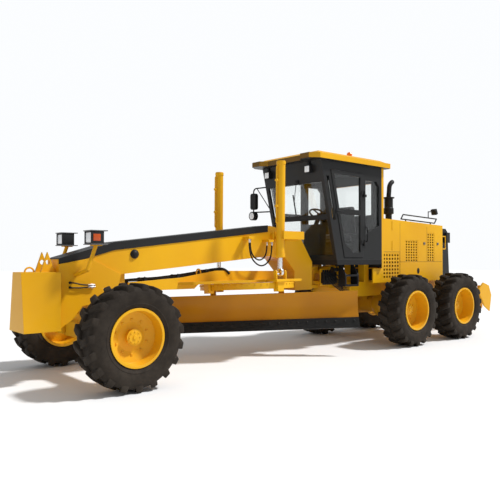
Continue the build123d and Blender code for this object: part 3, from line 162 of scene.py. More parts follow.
def makeDustGroup():
    # Pale road dust, thick near the ground and patchy above
    inputs = {"Amount": 0.3, "Reach": 1.2}
    tree, start, end = startGroup("roadDust", inputs, {"Mask": "NodeSocketFloat"})
    height = axisNode(tree, placeNode(tree), "Z")
    thickness = rangeNode(tree, height, 0.0, start.outputs["Reach"], 1.0, 0.12)
    patches = rangeNode(tree, noiseNode(tree, 3.5, 8.0, 0.65), 0.35, 0.75)
    mask = mathNode(tree, "MULTIPLY", thickness, patches)
    feed(tree, end, {"Mask": mathNode(tree, "MULTIPLY", mask, start.outputs["Amount"])})
    return tree


def makeGrainGroup():
    # Slow drift of shade over a surface and a fine ripple for its gloss
    outputs = {"Shade": "NodeSocketFloat", "Height": "NodeSocketFloat"}
    tree, start, end = startGroup("finishGrain", {"Drift": 1.3, "Ripple": 260.0}, outputs)
    for label, detail, socket in (("Drift", 3.0, "Shade"), ("Ripple", 2.0, "Height")):
        form = {"Vector": placeNode(tree), "Scale": start.outputs[label], "Detail": detail}
        feed(tree, end, {socket: addNode(tree, "ShaderNodeTexNoise", form).outputs["Fac"]})
    return tree


edgeGroup = makeEdgeGroup()
dustGroup = makeDustGroup()
grainGroup = makeGrainGroup()


def groupOutputs(tree, group, **inputs):
    return addNode(tree, "ShaderNodeGroup", inputs, node_tree=group).outputs


def startMaterial(name):
    material = bpy.data.materials.new(name)
    material.use_nodes = True
    tree = material.node_tree
    return material, tree, tree.nodes["Principled BSDF"]


def makePaint(name, light, dark, look):
    material, tree, shader = startMaterial(name)
    grain = groupOutputs(tree, grainGroup, Drift=look["drift"], Ripple=look["ripple"])
    edges = groupOutputs(tree, edgeGroup, Radius=look["edge"])
    dust = groupOutputs(tree, dustGroup, Amount=look["dust"], Reach=look["reach"])["Mask"]
    colour = mixColour(tree, rangeNode(tree, grain["Shade"], 0.35, 0.70), light, dark)
    worn = mathNode(tree, "MULTIPLY", edges["Edge"], look["wear"])
    colour = mixColour(tree, worn, colour, look["rubbed"])
    colour = mixColour(tree, dust, colour, look["dustColour"])
    # Faces turned along one axis are mixed to a flat colour: a painted shade
    for axis, facing, shadeColour in look["paintedShades"]:
        turned = axisNode(tree, placeNode(tree, "Normal"), axis)
        mask = rangeNode(tree, mathNode(tree, "MULTIPLY", turned, facing), 0.55, 0.70)
        colour = mixColour(tree, mask, colour, shadeColour)
    rough = rangeNode(tree, dust, 0.0, 0.5, look["rough"], look["dustRough"])
    uneven = rangeNode(tree, grain["Shade"], 0.3, 0.7, -0.04, 0.05)
    finish = {
        "Base Color": colour,
        "Roughness": mathNode(tree, "ADD", rough, uneven),
        "Normal": bumpNode(tree, grain["Height"], look["bump"], edges["Normal"]),
        "Specular IOR Level": look["specular"],
        "Coat Weight": look["coat"],
        "Coat Roughness": look["coatRough"],
    }
    feed(tree, shader, finish)
    return material


yellowLook = {
    "drift": 0.9,
    "ripple": 180.0,
    "edge": 0.007,
    "dust": 0.10,
    "dustColour": (0.40, 0.33, 0.24),
    "dustRough": 0.75,
    "reach": 1.3,
    "wear": 0.22,
    "rubbed": (0.92, 0.56, 0.05),
    "rough": 0.40,
    "bump": 0.03,
    "coat": 0.05,
    "coatRough": 0.12,
    "specular": 0.20,
    "paintedShades": [],
}
# Painted shade on the roof: its underside is painted charcoal and its front edge a dark brown, where shade falls
roofPaintedShades = [("Z", -1.0, (0.020, 0.020, 0.021)), ("X", 1.0, (0.16, 0.085, 0.012))]
roofShadeLook = dict(yellowLook, paintedShades=roofPaintedShades)
# Painted shade on the rear wall: its faces turned forward, into the cab, are painted charcoal where shade falls
wallShadeLook = dict(yellowLook, paintedShades=[("X", 1.0, (0.020, 0.021, 0.021))])
bladeLook = dict(yellowLook, rough=0.30, dust=0.06, wear=0.30)
charcoalLook = dict(
    yellowLook, wear=0.30, rubbed=(0.10, 0.10, 0.105), rough=0.42, dust=0.06, coat=0.06
)
greyLook = dict(charcoalLook, specular=0.5)
blackLook = dict(charcoalLook, rubbed=(0.06, 0.06, 0.065), rough=0.5, coat=0.04)
yellowTones = ((0.80, 0.42, 0.006), (0.71, 0.34, 0.004))
yellowPaint = makePaint("yellowPaint", *yellowTones, yellowLook)
roofPaintAndShade = makePaint("roofPaintAndShade", *yellowTones, roofShadeLook)
wallPaintAndShade = makePaint("wallPaintAndShade", *yellowTones, wallShadeLook)
# The blade's darker, browner yellow is painted shade on the face it turns from the sun
bladePaintAndShade = makePaint("bladePaintAndShade", (0.56, 0.24, 0.003), (0.42, 0.16, 0.002), bladeLook)
charcoalPaint = makePaint(
    "charcoalPaint", (0.019, 0.0195, 0.020), (0.014, 0.0145, 0.015), charcoalLook
)
greyPaint = makePaint("greyPaint", (0.13, 0.132, 0.135), (0.10, 0.102, 0.105), greyLook)
blackPaint = makePaint("blackPaint", (0.014, 0.014, 0.015), (0.009, 0.009, 0.010), blackLook)


def makeSteel(name, light, dark, rough, stretch):
    # Bare metal with scratches drawn out along one direction
    material, tree, shader = startMaterial(name)
    scratches = noiseNode(tree, 40.0, 6.0, 0.7, stretch)
    edges = groupOutputs(tree, edgeGroup, Radius=0.004)
    finish = {
        "Base Color": mixColour(tree, rangeNode(tree, scratches, 0.4, 0.65), light, dark),
        "Roughness": rangeNode(tree, scratches, 0.3, 0.7, rough - 0.08, rough + 0.15),
        "Normal": bumpNode(tree, scratches, 0.08, edges["Normal"]),
        "Metallic": 0.85,
    }
    feed(tree, shader, finish)
    return material


edgeTones = ((0.034, 0.033, 0.032), (0.014, 0.014, 0.014))
edgeSteel = makeSteel("edgeSteel", *edgeTones, 0.50, (0.25, 0.25, 3.0))
rodTones = ((0.80, 0.80, 0.82), (0.70, 0.70, 0.72))
chromeRod = makeSteel("chromeRod", *rodTones, 0.16, (1.0, 1.0, 0.1))


def makeGlass(name, tint):
    material, tree, shader = startMaterial(name)
    film = rangeNode(tree, noiseNode(tree, 1.2, 5.0), 0.4, 0.8)
    darker = tuple(0.94 * value for value in tint)
    finish = {
        "Base Color": mixColour(tree, film, tint, darker),
        "Roughness": rangeNode(tree, noiseNode(tree, 2.0, 6.0), 0.35, 0.8, 0.01, 0.07),
        "Transmission Weight": 1.0,
        "IOR": 1.45,
    }
    feed(tree, shader, finish)
    return material


cabGlass = makeGlass("cabGlass", (0.950, 0.972, 0.964))


def makeRubber(name, light, dark, dustAmount, dustReach, rough):
    material, tree, shader = startMaterial(name)
    dust = groupOutputs(tree, dustGroup, Amount=dustAmount, Reach=dustReach)["Mask"]
    edges = groupOutputs(tree, edgeGroup, Radius=0.006)
    grain = noiseNode(tree, 9.0, 8.0, 0.65)
    colour = mixColour(tree, rangeNode(tree, grain, 0.35, 0.7), light, dark)
    worn = mathNode(tree, "MULTIPLY", edges["Edge"], 0.25)
    colour = mixColour(tree, worn, colour, (0.09, 0.08, 0.07))
    finish = {
        "Base Color": mixColour(tree, dust, colour, (0.22, 0.18, 0.14)),
        "Roughness": rangeNode(tree, grain, 0.3, 0.7, rough - 0.08, rough + 0.1),
        "Normal": bumpNode(tree, noiseNode(tree, 160.0, 4.0, 0.6), 0.12, edges["Normal"]),
        "Specular IOR Level": 0.2,
    }
    feed(tree, shader, finish)
    return material


tyreTones = ((0.024, 0.0175, 0.012), (0.013, 0.0095, 0.007))
tyreRubber = makeRubber("tyreRubber", *tyreTones, dustAmount=0.11, dustReach=1.8, rough=0.78)
hoseTones = ((0.014, 0.013, 0.013), (0.008, 0.008, 0.008))
hoseRubber = makeRubber("hoseRubber", *hoseTones, dustAmount=0.10, dustReach=2.6, rough=0.45)


def makeCloth(name, light, dark):
    material, tree, shader = startMaterial(name)
    weave = waveNode(tree, {"Scale": 160.0, "Distortion": 0.6}, bands_direction="DIAGONAL")
    finish = {
        "Base Color": mixColour(tree, weave, light, dark),
        "Roughness": rangeNode(tree, noiseNode(tree, 12.0), 0.3, 0.7, 0.75, 0.95),
        "Normal": bumpNode(tree, weave, 0.3),
        "Sheen Weight": 0.3,
    }
    feed(tree, shader, finish)
    return material


seatCloth = makeCloth("seatCloth", (0.035, 0.036, 0.040), (0.016, 0.016, 0.018))


def makeLens(name, light, dark, glow):
    # A moulded lamp lens with a fluted face
    material, tree, shader = startMaterial(name)
    flutes = waveNode(tree, {"Scale": 45.0})
    colour = mixColour(tree, flutes, light, dark)
    finish = {
        "Base Color": colour,
        "Roughness": rangeNode(tree, noiseNode(tree, 20.0), 0.3, 0.7, 0.12, 0.25),
        "Normal": bumpNode(tree, flutes, 0.25, distance=0.003),
        "Emission Color": colour,
        "Emission Strength": glow,
    }
    feed(tree, shader, finish)
    return material


amberLens = makeLens("amberLens", (0.55, 0.085, 0.006), (0.36, 0.045, 0.004), 0.08)
redLens = makeLens("redLens", (0.42, 0.010, 0.006), (0.22, 0.004, 0.003), 0.15)
whiteLens = makeLens("whiteLens", (0.85, 0.86, 0.86), (0.60, 0.62, 0.64), 0.25)


def makeBeaconLens(name, split):
    # One turned form: a black foot below the split height and an amber dome above it
    material, tree, shader = startMaterial(name)
    above = mathNode(tree, "GREATER_THAN", axisNode(tree, placeNode(tree), "Z"), split)
    flutes = rangeNode(tree, noiseNode(tree, 60.0, 2.0, 0.5, (1, 1, 0.1)), 0.35, 0.65)
    amber = mixColour(tree, flutes, (0.85, 0.20, 0.008), (0.60, 0.09, 0.004))
    finish = {
        "Base Color": mixColour(tree, above, (0.012, 0.012, 0.013), amber),
        "Roughness": rangeNode(tree, above, 0.0, 1.0, 0.5, 0.16),
        "Normal": bumpNode(tree, flutes, 0.2),
        "Emission Color": mixColour(tree, above, (0.0, 0.0, 0.0), amber),
        "Emission Strength": 0.25,
    }
    feed(tree, shader, finish)
    return material


beaconFoot = 0.112
beaconLens = makeBeaconLens("beaconLens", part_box("beacon")[0][2] + beaconFoot)
print("materials made:", len(bpy.data.materials))

# Every CAD node takes the finish of its slot, or one of its own
slotFinish = {
    "yellow_paint": yellowPaint,
    "charcoal_paint": charcoalPaint,
    "black_paint": blackPaint,
    "steel_edge": edgeSteel,
    "chrome_rod": chromeRod,
    "clear_glass": cabGlass,
    "seat_fabric": seatCloth,
    "amber_lens": amberLens,
    "tyre_rubber": tyreRubber,
    "hose_rubber": hoseRubber,
}
ownFinish = {
    "moldboard": bladePaintAndShade,
    "beacon": beaconLens,
    "cab_roof": roofPaintAndShade,
    "cab_rear_wall": wallPaintAndShade,
}
for part in frame["record"]["subparts"]:
    cadNode = nodes[part["node"]]
    cadNode.data.materials.clear()
    cadNode.data.materials.append(ownFinish.get(part["node"], slotFinish[part["material_slot"]]))
print("CAD nodes painted")

# Building blocks for the added pieces; trim is let into the face that carries it by this much
sunk = 0.004


def roundEdges(build, edges, offset):
    bmesh.ops.bevel(
        build, geom=edges, offset=offset, segments=2, profile=0.5, affect="EDGES", material=-1
    )


def addBox(build, low, high, bevel=0.0):
    size = [b - a for a, b in zip(low, high)]
    middle = [(a + b) / 2 for a, b in zip(low, high)]
    place = Matrix.Translation(middle) @ Matrix.Diagonal((*size, 1.0))
    made = bmesh.ops.create_cube(build, size=1.0, matrix=place)["verts"]
    if bevel:
        roundEdges(build, list({edge for vert in made for edge in vert.link_edges}), bevel)


def addBlock(build, place, spans, bevel=0.0, side=1):
    # Spans from a place on the left side, mirrored where side is -1
    ends = [[at + reach for reach in span] for at, span in zip(place, spans)]
    ends[1] = sorted(side * y for y in ends[1])
    addBox(build, *zip(*ends), bevel)


def standAlong(place, axis):
    return Matrix.Translation(place) @ axis.to_track_quat("Z", "Y").to_matrix().to_4x4()


def addRod(build, start, end, radius, sides=16, endRadius=None):
    start, end = Vector(start), Vector(end)
    bmesh.ops.create_cone(
        build,
        cap_ends=True,
        segments=sides,
        radius1=radius,
        radius2=radius if endRadius is None else endRadius,
        depth=(end - start).length,
        matrix=standAlong((start + end) / 2, end - start),
    )


def addStub(build, place, axis, span, radius, sides=16, endRadius=None):
    # A rod along an axis, between two reaches from a place
    start, end = (Vector(place) + reach * Vector(axis) for reach in span)
    addRod(build, start, end, radius, sides, endRadius)


def mirrored(points, side):
    return [(x, side * y, z) for x, y, z in points]


def addBolt(build, base, axis, radius, height):
    # A hexagon head on a round washer, the washer sunk a little into its plate
    base, axis = Vector(base), Vector(axis).normalized()
    addRod(build, base - axis * height, base + axis * 0.25 * height, 1.35 * radius, 14)
    addRod(build, base, base + axis * height, radius, 6, 0.93 * radius)


def bakeMesh(build, name):
    mesh = bpy.data.meshes.new(name)
    build.to_mesh(mesh)
    build.free()
    return mesh


def joinMesh(build, mesh):
    build.from_mesh(mesh)
    bpy.data.meshes.remove(mesh)


def spinRound(build, geom, axis, steps, angle=tau, **settings):
    bmesh.ops.spin(build, geom=geom, axis=axis, cent=(0, 0, 0), steps=steps, angle=angle, **settings)


def spinOutline(build, points, axis, steps):
    verts = [build.verts.new(point) for point in points]
    edges = [build.edges.new(pair) for pair in zip(verts, verts[1:] + verts[:1])]
    spinRound(build, verts + edges, axis, steps, use_merge=True)


def addRing(build, start, end, inner, outer, steps=36):
    # A round collar between two points, turned from one square section
    start, axis = Vector(start), Vector(end) - Vector(start)
    height = axis.length
    turned = bmesh.new()
    section = [(inner, 0, 0), (outer, 0, 0), (outer, 0, height), (inner, 0, height)]
    spinOutline(turned, section, (0, 0, 1), steps)
    bmesh.ops.transform(turned, matrix=standAlong(start, axis), verts=turned.verts)
    joinMesh(build, bakeMesh(turned, "collar"))


def startCurve(name, points, radius):
    # A smooth line that has the points as its control points
    curve = bpy.data.curves.new(name, "CURVE")
    curve.dimensions = "3D"
    curve.bevel_depth = radius
    curve.bevel_resolution = 3
    curve.use_fill_caps = True
    curve.resolution_u = 10
    spline = curve.splines.new("NURBS")
    spline.points.add(len(points) - 1)
    for point, place in zip(spline.points, points):
        point.co = (*place, 1.0)
    spline.order_u = 3
    spline.use_endpoint_u = True
    return curve


def addTube(build, points, radius):
    curve = startCurve("tubeLine", points, radius)
    holder = bpy.data.objects.new("tubeLine", curve)
    joinMesh(build, bpy.data.meshes.new_from_object(holder))
    bpy.data.objects.remove(holder)
    bpy.data.curves.remove(curve)


def finishPiece(name, build, material, body, sharp=40.0):
    bmesh.ops.recalc_face_normals(build, faces=build.faces)
    mesh = bakeMesh(build, name)
    mesh.shade_smooth()
    mesh.set_sharp_from_angle(angle=radians(sharp))
    mesh.materials.append(material)
    piece = placeObject(name, mesh)
    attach(piece, body)
    return piece


def middleOf(node):
    low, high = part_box(node)
    return Vector([(a + b) / 2 for a, b in zip(low, high)])


# Two hoses hanging in a loop beside the saddle
saddleHoses = {
    "diameter": 0.023,
    "outer": [
        (1.500, 0.300, 1.840),
        (1.500, 0.300, 1.665),
        (1.437, 0.312, 1.500),
        (1.270, 0.318, 1.405),
        (1.100, 0.312, 1.485),
        (1.030, 0.300, 1.640),
        (1.030, 0.300, 1.800),
    ],
    "inner": [
        (1.440, 0.250, 1.840),
        (1.440, 0.250, 1.702),
        (1.390, 0.258, 1.570),
        (1.262, 0.262, 1.500),
        (1.140, 0.258, 1.560),
        (1.090, 0.250, 1.680),
        (1.090, 0.250, 1.800),
    ],
    "lengths": {"outer": 1.028, "inner": 0.785},
    "crimp": ((-0.004, 0.055), 0.0150, 18, 0.0135),
    "nut": ((-0.004, 0.022), 0.0185, 6),
}


def makeSaddleHose(which):
    points = saddleHoses[which]
    curve = startCurve(f"hose_{which}", points, saddleHoses["diameter"] / 2)
    curve.materials.append(hoseRubber)
    piece = placeObject(f"hose_{which}", curve)
    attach(piece, "front_frame")
    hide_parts(f"saddle_hose_{which}")


def makeHoseCrimps():
    build = bmesh.new()
    for which in ("outer", "inner"):
        points = [Vector(point) for point in saddleHoses[which]]
        for end, inward in ((points[0], points[1]), (points[-1], points[-2])):
            along = (inward - end).normalized()
            for key in ("crimp", "nut"):
                addStub(build, end, along, *saddleHoses[key])
    finishPiece("hoseCrimps", build, chromeRod, "front_frame")


for which in ("outer", "inner"):
    makeSaddleHose(which)
makeHoseCrimps()
print("saddle hoses made")

# Tyres: a round carcass under two staggered rows of swept lugs
tyreForm = {
    "lugCount": 19,
    "lugWidth": 0.086,
    "lugSweep": 0.084,
    "lugInset": 0.012,
    "lugTop": 0.6285,
    "lugBase": 0.545,
    "lugRound": 0.013,
    "lugFlare": 0.45,
    "shoulderFall": 0.012,
    "shoulderStart": 0.6,
    "treadRadius": 0.587,
    "beadRadius": 0.339,
    "beadHalf": 0.175,
    "steps": 95,
    "sharp": 50.0,
}


def addCarcass(build, half):
    bead, tread = tyreForm["beadRadius"], tyreForm["treadRadius"]
    side = [
        (tyreForm["beadHalf"] - 0.010, bead),
        (tyreForm["beadHalf"] + 0.004, bead + 0.012),
        (half - 0.026, bead + 0.034),
        (half - 0.016, bead + 0.052),
        (half - 0.0125, bead + 0.055),
        (half - 0.0125, bead + 0.062),
        (half - 0.0150, bead + 0.065),
        (half - 0.006, bead + 0.095),
        (half - 0.001, bead + 0.130),
        (half - 0.002, bead + 0.158),
        (half - 0.009, tread - 0.056),
        (half - 0.020, tread - 0.026),
        (half - 0.042, tread - 0.008),
        (half - 0.085, tread),
    ]
    outline = [(0.0, -y, radius) for y, radius in side]
    outline += [(0.0, y, radius) for y, radius in side[::-1]]
    spinOutline(build, outline, (0, 1, 0), tyreForm["steps"])


def addLugRow(build, row, half):
    # One bevelled bar, swept, bent to the tread and repeated round the tyre
    inner, outer = tyreForm["lugInset"], half - tyreForm["lugInset"]
    top, base, count = tyreForm["lugTop"], tyreForm["lugBase"], tyreForm["lugCount"]
    width, reach = tyreForm["lugWidth"] / 2, outer - inner
    lugs = bmesh.new()
    addBox(lugs, (-width, inner, base), (width, outer, top), tyreForm["lugRound"])
    long = [edge for edge in lugs.edges if abs(edge.verts[0].co.y - edge.verts[1].co.y) > 0.5 * reach]
    bmesh.ops.subdivide_edges(lugs, edges=long, cuts=4, use_grid_fill=True)
    shoulder = tyreForm["shoulderStart"]
    for vert in lugs.verts:
        share = (vert.co.y - inner) / reach
        flare = 1.0 + tyreForm["lugFlare"] * (top - vert.co.z) / (top - base)
        fall = max(0.0, share - shoulder) / (1.0 - shoulder)
        radius = vert.co.z - tyreForm["shoulderFall"] * fall
        angle = (flare * vert.co.x + tyreForm["lugSweep"] * (share - 0.5)) / top
        vert.co = (radius * sin(angle), row * vert.co.y, -radius * cos(angle))
    stagger = Matrix.Rotation(0.25 * row * tau / count, 3, "Y")
    bmesh.ops.rotate(lugs, verts=lugs.verts, cent=(0, 0, 0), matrix=stagger)
    everything = lugs.verts[:] + lugs.edges[:] + lugs.faces[:]
    turn = tau * (count - 1) / count
    spinRound(lugs, everything, (0, 1, 0), count - 1, turn, use_duplicate=True)
    joinMesh(build, bakeMesh(lugs, "lugRow"))


def makeTyre(wheel):
    node = f"tyre_{wheel}"
    low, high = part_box(node)
    half = (high[1] - low[1]) / 2
    build = bmesh.new()
    addCarcass(build, half)
    for row in bothSides:
        addLugRow(build, row, half)
    bmesh.ops.translate(build, verts=build.verts, vec=middleOf(node))
    body, sharp = f"wheel_{wheel}", tyreForm["sharp"]
    piece = finishPiece(f"tread_{wheel}", build, tyreRubber, body, sharp)
    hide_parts(node)


wheelNames = [node[5:] for node in nodes if node.startswith("tyre_")]
for wheel in wheelNames:
    makeTyre(wheel)
print("tyres made:", len(wheelNames))

# Wheel nuts on the discs, and a flange with screws and a cap on each hub
wheelNuts = {"count": 10, "ring": 0.205, "nut": (0.013, 0.015), "seat": 0.022, "front": 0.045, "rear": -0.025}
hubCap = {
    "reach": 0.060,
    "flange": ((-0.024, -0.010), 0.096, 40),
    "cap": ((-0.004, 0.010), 0.030, 28, 0.024),
    "screws": 8,
    "screwRing": 0.066,
    "screw": (0.008, 0.007),
}


def makeWheelNuts(wheel):
    middle = middleOf(f"tyre_{wheel}")
    side = 1 if middle.y > 0 else -1
    disc = middle.y + side * wheelNuts["front" if "front" in wheel else "rear"]
    hubEnd = disc + side * hubCap["reach"]
    axis = (0, side, 0)
    build = bmesh.new()

    def spot(ring, angle, y):
        return (middle.x + ring * cos(angle), y, middle.z + ring * sin(angle))

    for i in range(wheelNuts["count"]):
        angle = (i + 0.5) * tau / wheelNuts["count"]
        base = spot(wheelNuts["ring"], angle, disc - side * wheelNuts["seat"])
        addBolt(build, base, axis, *wheelNuts["nut"])
    for key in ("flange", "cap"):
        addStub(build, (middle.x, hubEnd, middle.z), axis, *hubCap[key])
    for i in range(hubCap["screws"]):
        base = spot(hubCap["screwRing"], i * tau / hubCap["screws"], hubEnd)
        addBolt(build, base, axis, *hubCap["screw"])
    finishPiece(f"wheelNuts_{wheel}", build, yellowPaint, f"wheel_{wheel}")


for wheel in wheelNames:
    makeWheelNuts(wheel)
print("wheel nuts made")

# Headlamps: a rounded box with a lens hollow in front, between two guard plates
headLamp = {
    "half": 0.115,
    "bodyX": (-0.060, 0.110),
    "bodyY": (-0.105, 0.105),
    "bodyGap": 0.006,
    "round": 0.010,
    "rim": 0.010,
    "hollow": 0.040,
    "guard": ((-0.105, 0.118), (-0.115, 0.115), (0.0, 0.012)),
    "gland": ((-0.058, -0.080), 0.018, 20, 0.013),
    "glandRise": 0.09,
    "lensFront": 0.040,
    "lensX": (-0.035, -0.008),
    "lensY": (-0.197, -0.033),
    "lensGap": 0.028,
    "sideLens": ((-0.120, -0.025), (-0.012, -0.004), (-0.0425, 0.0425)),
    "trimRound": 0.003,
}


def makeLampHousings():
    low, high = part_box("headlamps")
    x, y, height = (low[0] + high[0]) / 2, high[1] - headLamp["half"], high[2] - low[2]
    body = (headLamp["bodyX"], headLamp["bodyY"], (headLamp["bodyGap"], height - headLamp["bodyGap"]))
    guardTop = high[2] - headLamp["guard"][2][1]
    housings, guards = bmesh.new(), bmesh.new()
    for side in bothSides:
        addBlock(housings, (x, y, low[2]), body, headLamp["round"], side)
        fronts = [face for face in housings.faces if face.normal.x > 0.99 and face.calc_area() > 0.01]
        front = [face for face in fronts if abs(face.calc_center_median().y - side * y) < 0.02]
        bmesh.ops.inset_region(housings, faces=front, thickness=headLamp["rim"])
        pushed = bmesh.ops.extrude_face_region(housings, geom=front)["geom"]
        bmesh.ops.delete(housings, geom=front, context="FACES_ONLY")
        moved = [item for item in pushed if isinstance(item, bmesh.types.BMVert)]
        bmesh.ops.translate(housings, verts=moved, vec=(-headLamp["hollow"], 0, 0))
        for z in (low[2], guardTop):
            addBlock(guards, (x, y, z), headLamp["guard"], headLamp["trimRound"], side)
        gland = (x, side * y, low[2] + headLamp["glandRise"])
        addStub(guards, gland, (1, 0, 0), *headLamp["gland"])
    housing = finishPiece("lampHousings", housings, charcoalPaint, "front_frame")
    plate = finishPiece("lampGuards", guards, greyPaint, "front_frame")
    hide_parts("headlamps")
    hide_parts("headlamps")


def makeHeadLenses():
    low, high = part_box("headlamps")
    front, height = high[0] - headLamp["lensFront"], high[2] - low[2]
    lens = (headLamp["lensX"], headLamp["lensY"], (headLamp["lensGap"], height - headLamp["lensGap"]))
    white, amber = bmesh.new(), bmesh.new()
    for side in bothSides:
        addBlock(white, (front, high[1], low[2]), lens, headLamp["round"], side)
        place = (front, high[1], low[2] + height / 2)
        addBlock(amber, place, headLamp["sideLens"], headLamp["trimRound"], side)
    finishPiece("headLenses", white, whiteLens, "front_frame")
    finishPiece("sideLenses", amber, amberLens, "front_frame")


# Lenses of the roof lamps, the round lamp under the mirror and the rear lamps
smallLenses = {
    "roofLamp": 0.120,
    "roof": ((-0.006, 0.006), (0.010, 0.110), (0.010, 0.110)),
    "roofRound": 0.005,
    "mirrorInset": 0.080,
    "mirror": ((-0.006, 0.008), 0.070, 32, 0.052),
    "rearPlace": (0.065, 0.080),
    "red": ((-0.008, 0.004), (-0.050, -0.006), (-0.195, -0.105)),
    "amber": ((-0.008, 0.004), (-0.050, -0.006), (-0.098, -0.012)),
    "rearRound": 0.003,
}


def makeCabLenses():
    low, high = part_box("cab_lamps")
    build = bmesh.new()
    for y in (low[1], high[1] - smallLenses["roofLamp"]):
        addBlock(build, (high[0], y, low[2]), smallLenses["roof"], smallLenses["roofRound"])
    low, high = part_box("mirrors")
    inset = smallLenses["mirrorInset"]
    addStub(build, (high[0], low[1] + inset, low[2] + inset), (1, 0, 0), *smallLenses["mirror"])
    finishPiece("cabLenses", build, whiteLens, "rear_frame")


def makeRearLenses():
    low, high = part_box("radiator_housing")
    inset, fall = smallLenses["rearPlace"]
    place = (low[0] + inset, high[1], high[2] - fall)
    red, amber = bmesh.new(), bmesh.new()
    for side in bothSides:
        addBlock(red, place, smallLenses["red"], smallLenses["rearRound"], side)
        addBlock(amber, place, smallLenses["amber"], smallLenses["rearRound"], side)
    finishPiece("rearRedLenses", red, redLens, "rear_frame")
    finishPiece("rearAmberLenses", amber, amberLens, "rear_frame")


makeLampHousings()
makeHeadLenses()
makeCabLenses()
makeRearLenses()
print("lamps made")

# Hose lines clamped along the drawbar, and its lifting ring, in the drawbar's own tilt
drawbarLines = {
    "radius": 0.020,
    "spread": (-0.050, -0.008, 0.034, 0.076),
    "run": [
        (3.44, 1.240),
        (3.28, 1.248),
        (3.05, 1.256),
        (2.78, 1.276),
        (2.60, 1.286),
        (2.35, 1.316),
        (2.12, 1.352),
        (1.96, 1.372),
    ],
    "sway": 0.006,
    "ripple": 0.004,
    "lead": ((0.030, 0.0, -0.055), (0.026, 0.0, -0.005)),
    "tail": ((-0.14, 0.0, 0.004), (-0.21, 0.0, -0.060)),
    "fan": ((0.0, 0.012, 0.0), (0.0, 0.016, -0.006)),
    "clamps": (3.20, 2.66, 2.16),
    "clamp": ((-0.025, 0.025), (-0.086, 0.112), (-0.044, 0.026)),
    "clampRound": 0.006,
    "boltPlaces": (-0.066, 0.092),
    "bolt": (0.008, 0.008),
}
liftRing = {
    "place": (2.30, 0.096, 1.318),
    "loop": ((0.040, -0.05), (0.040, 0.040), (0.0, 0.064), (-0.040, 0.040), (-0.040, -0.05)),
    "radius": 0.011,
}
ballPlace = Vector(jointNamed["drawbar_lift"]["pos_m"])
circlePlace = Vector(jointNamed["circle_turn"]["pos_m"])
circleAxis = Vector(jointNamed["circle_turn"]["axis"])
circleTilt = Vector((0, 0, 1)).rotation_difference(circleAxis).to_matrix().to_4x4()
drawbarTilt = Matrix.Translation(ballPlace) @ circleTilt @ Matrix.Translation(-ballPlace)


def finishTilted(name, build, material, body):
    bmesh.ops.transform(build, matrix=drawbarTilt, verts=build.verts)
    finishPiece(name, build, material, body)


def spineTop(x):
    run = drawbarLines["run"]
    for (nearX, nearZ), (farX, farZ) in zip(run, run[1:]):
        if nearX >= x >= farX:
            return nearZ + (farZ - nearZ) * (nearX - x) / (nearX - farX)
    return run[-1][1]


def makeDrawbarLines():
    lines, clamps = bmesh.new(), bmesh.new()
    sway, ripple = drawbarLines["sway"], drawbarLines["ripple"]
    for i, y in enumerate(drawbarLines["spread"]):
        points = [
            Vector((x, y + sway * sin(7.0 * x + 2.0 * i), z + ripple * cos(5.0 * x + i)))
            for x, z in drawbarLines["run"]
        ]
        lead = [points[0] + Vector(step) for step in drawbarLines["lead"]]
        ends = zip(drawbarLines["tail"], drawbarLines["fan"])
        tail = [points[-1] + Vector(step) + i * Vector(fan) for step, fan in ends]
        addTube(lines, lead + points + tail, drawbarLines["radius"])
    for x in drawbarLines["clamps"]:
        z = spineTop(x)
        addBlock(clamps, (x, 0, z), drawbarLines["clamp"], drawbarLines["clampRound"])
        for y in drawbarLines["boltPlaces"]:
            addBolt(clamps, (x, y, z + drawbarLines["clamp"][2][1]), (0, 0, 1), *drawbarLines["bolt"])
    finishTilted("drawbarLines", lines, hoseRubber, "drawbar")
    finishTilted("lineClamps", clamps, blackPaint, "drawbar")


def makeLiftRing():
    x, y, z = liftRing["place"]
    build = bmesh.new()
    addTube(build, [(x + along, y, z + rise) for along, rise in liftRing["loop"]], liftRing["radius"])
    finishTilted("liftRing", build, yellowPaint, "drawbar")


makeDrawbarLines()
makeLiftRing()
print("drawbar lines made")

# Bolts round the circle's outer face
circleBolts = {"count": 48, "bolt": (0.011, 0.008), "rise": 0.022}


def makeCircleBolts():
    low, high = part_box("circle")
    reach = (high[0] - low[0]) / 2
    rise = Vector((0, 0, circleBolts["rise"]))
    build = bmesh.new()
    for i in range(circleBolts["count"]):
        angle = i * tau / circleBolts["count"]
        outward = Vector((cos(angle), sin(angle), 0.0))
        addBolt(build, reach * outward + rise, outward, *circleBolts["bolt"])
    place = Matrix.Translation(circlePlace) @ circleTilt
    bmesh.ops.transform(build, matrix=place, verts=build.verts)
    finishPiece("circleBolts", build, yellowPaint, "circle")


makeCircleBolts()
print("circle bolts made")

# Lift cylinders: gland collars below, a cap above and an oil pipe down the front
liftTrim = {
    "below": 0.330,
    "above": 1.110,
    "rod": 0.037,
    "collars": (((-0.060, -0.002), 0.075), ((-0.004, 0.010), 0.052)),
    "cap": ((0.045, 0.0), 0.071, 36),
    "bolts": 6,
    "boltRing": 0.048,
    "bolt": (0.009, 0.009),
    "pipe": 0.011,
    "route": ((-1.04, 0.05), (-1.04, 0.088), (-1.0, 0.088), (-0.22, 0.088), (-0.18, 0.088), (-0.18, 0.05)),
    "clips": (-0.825, -0.438),
    "clip": ((0.055, 0.104), (-0.022, 0.022), (-0.018, 0.018)),
    "clipRound": 0.004,
}


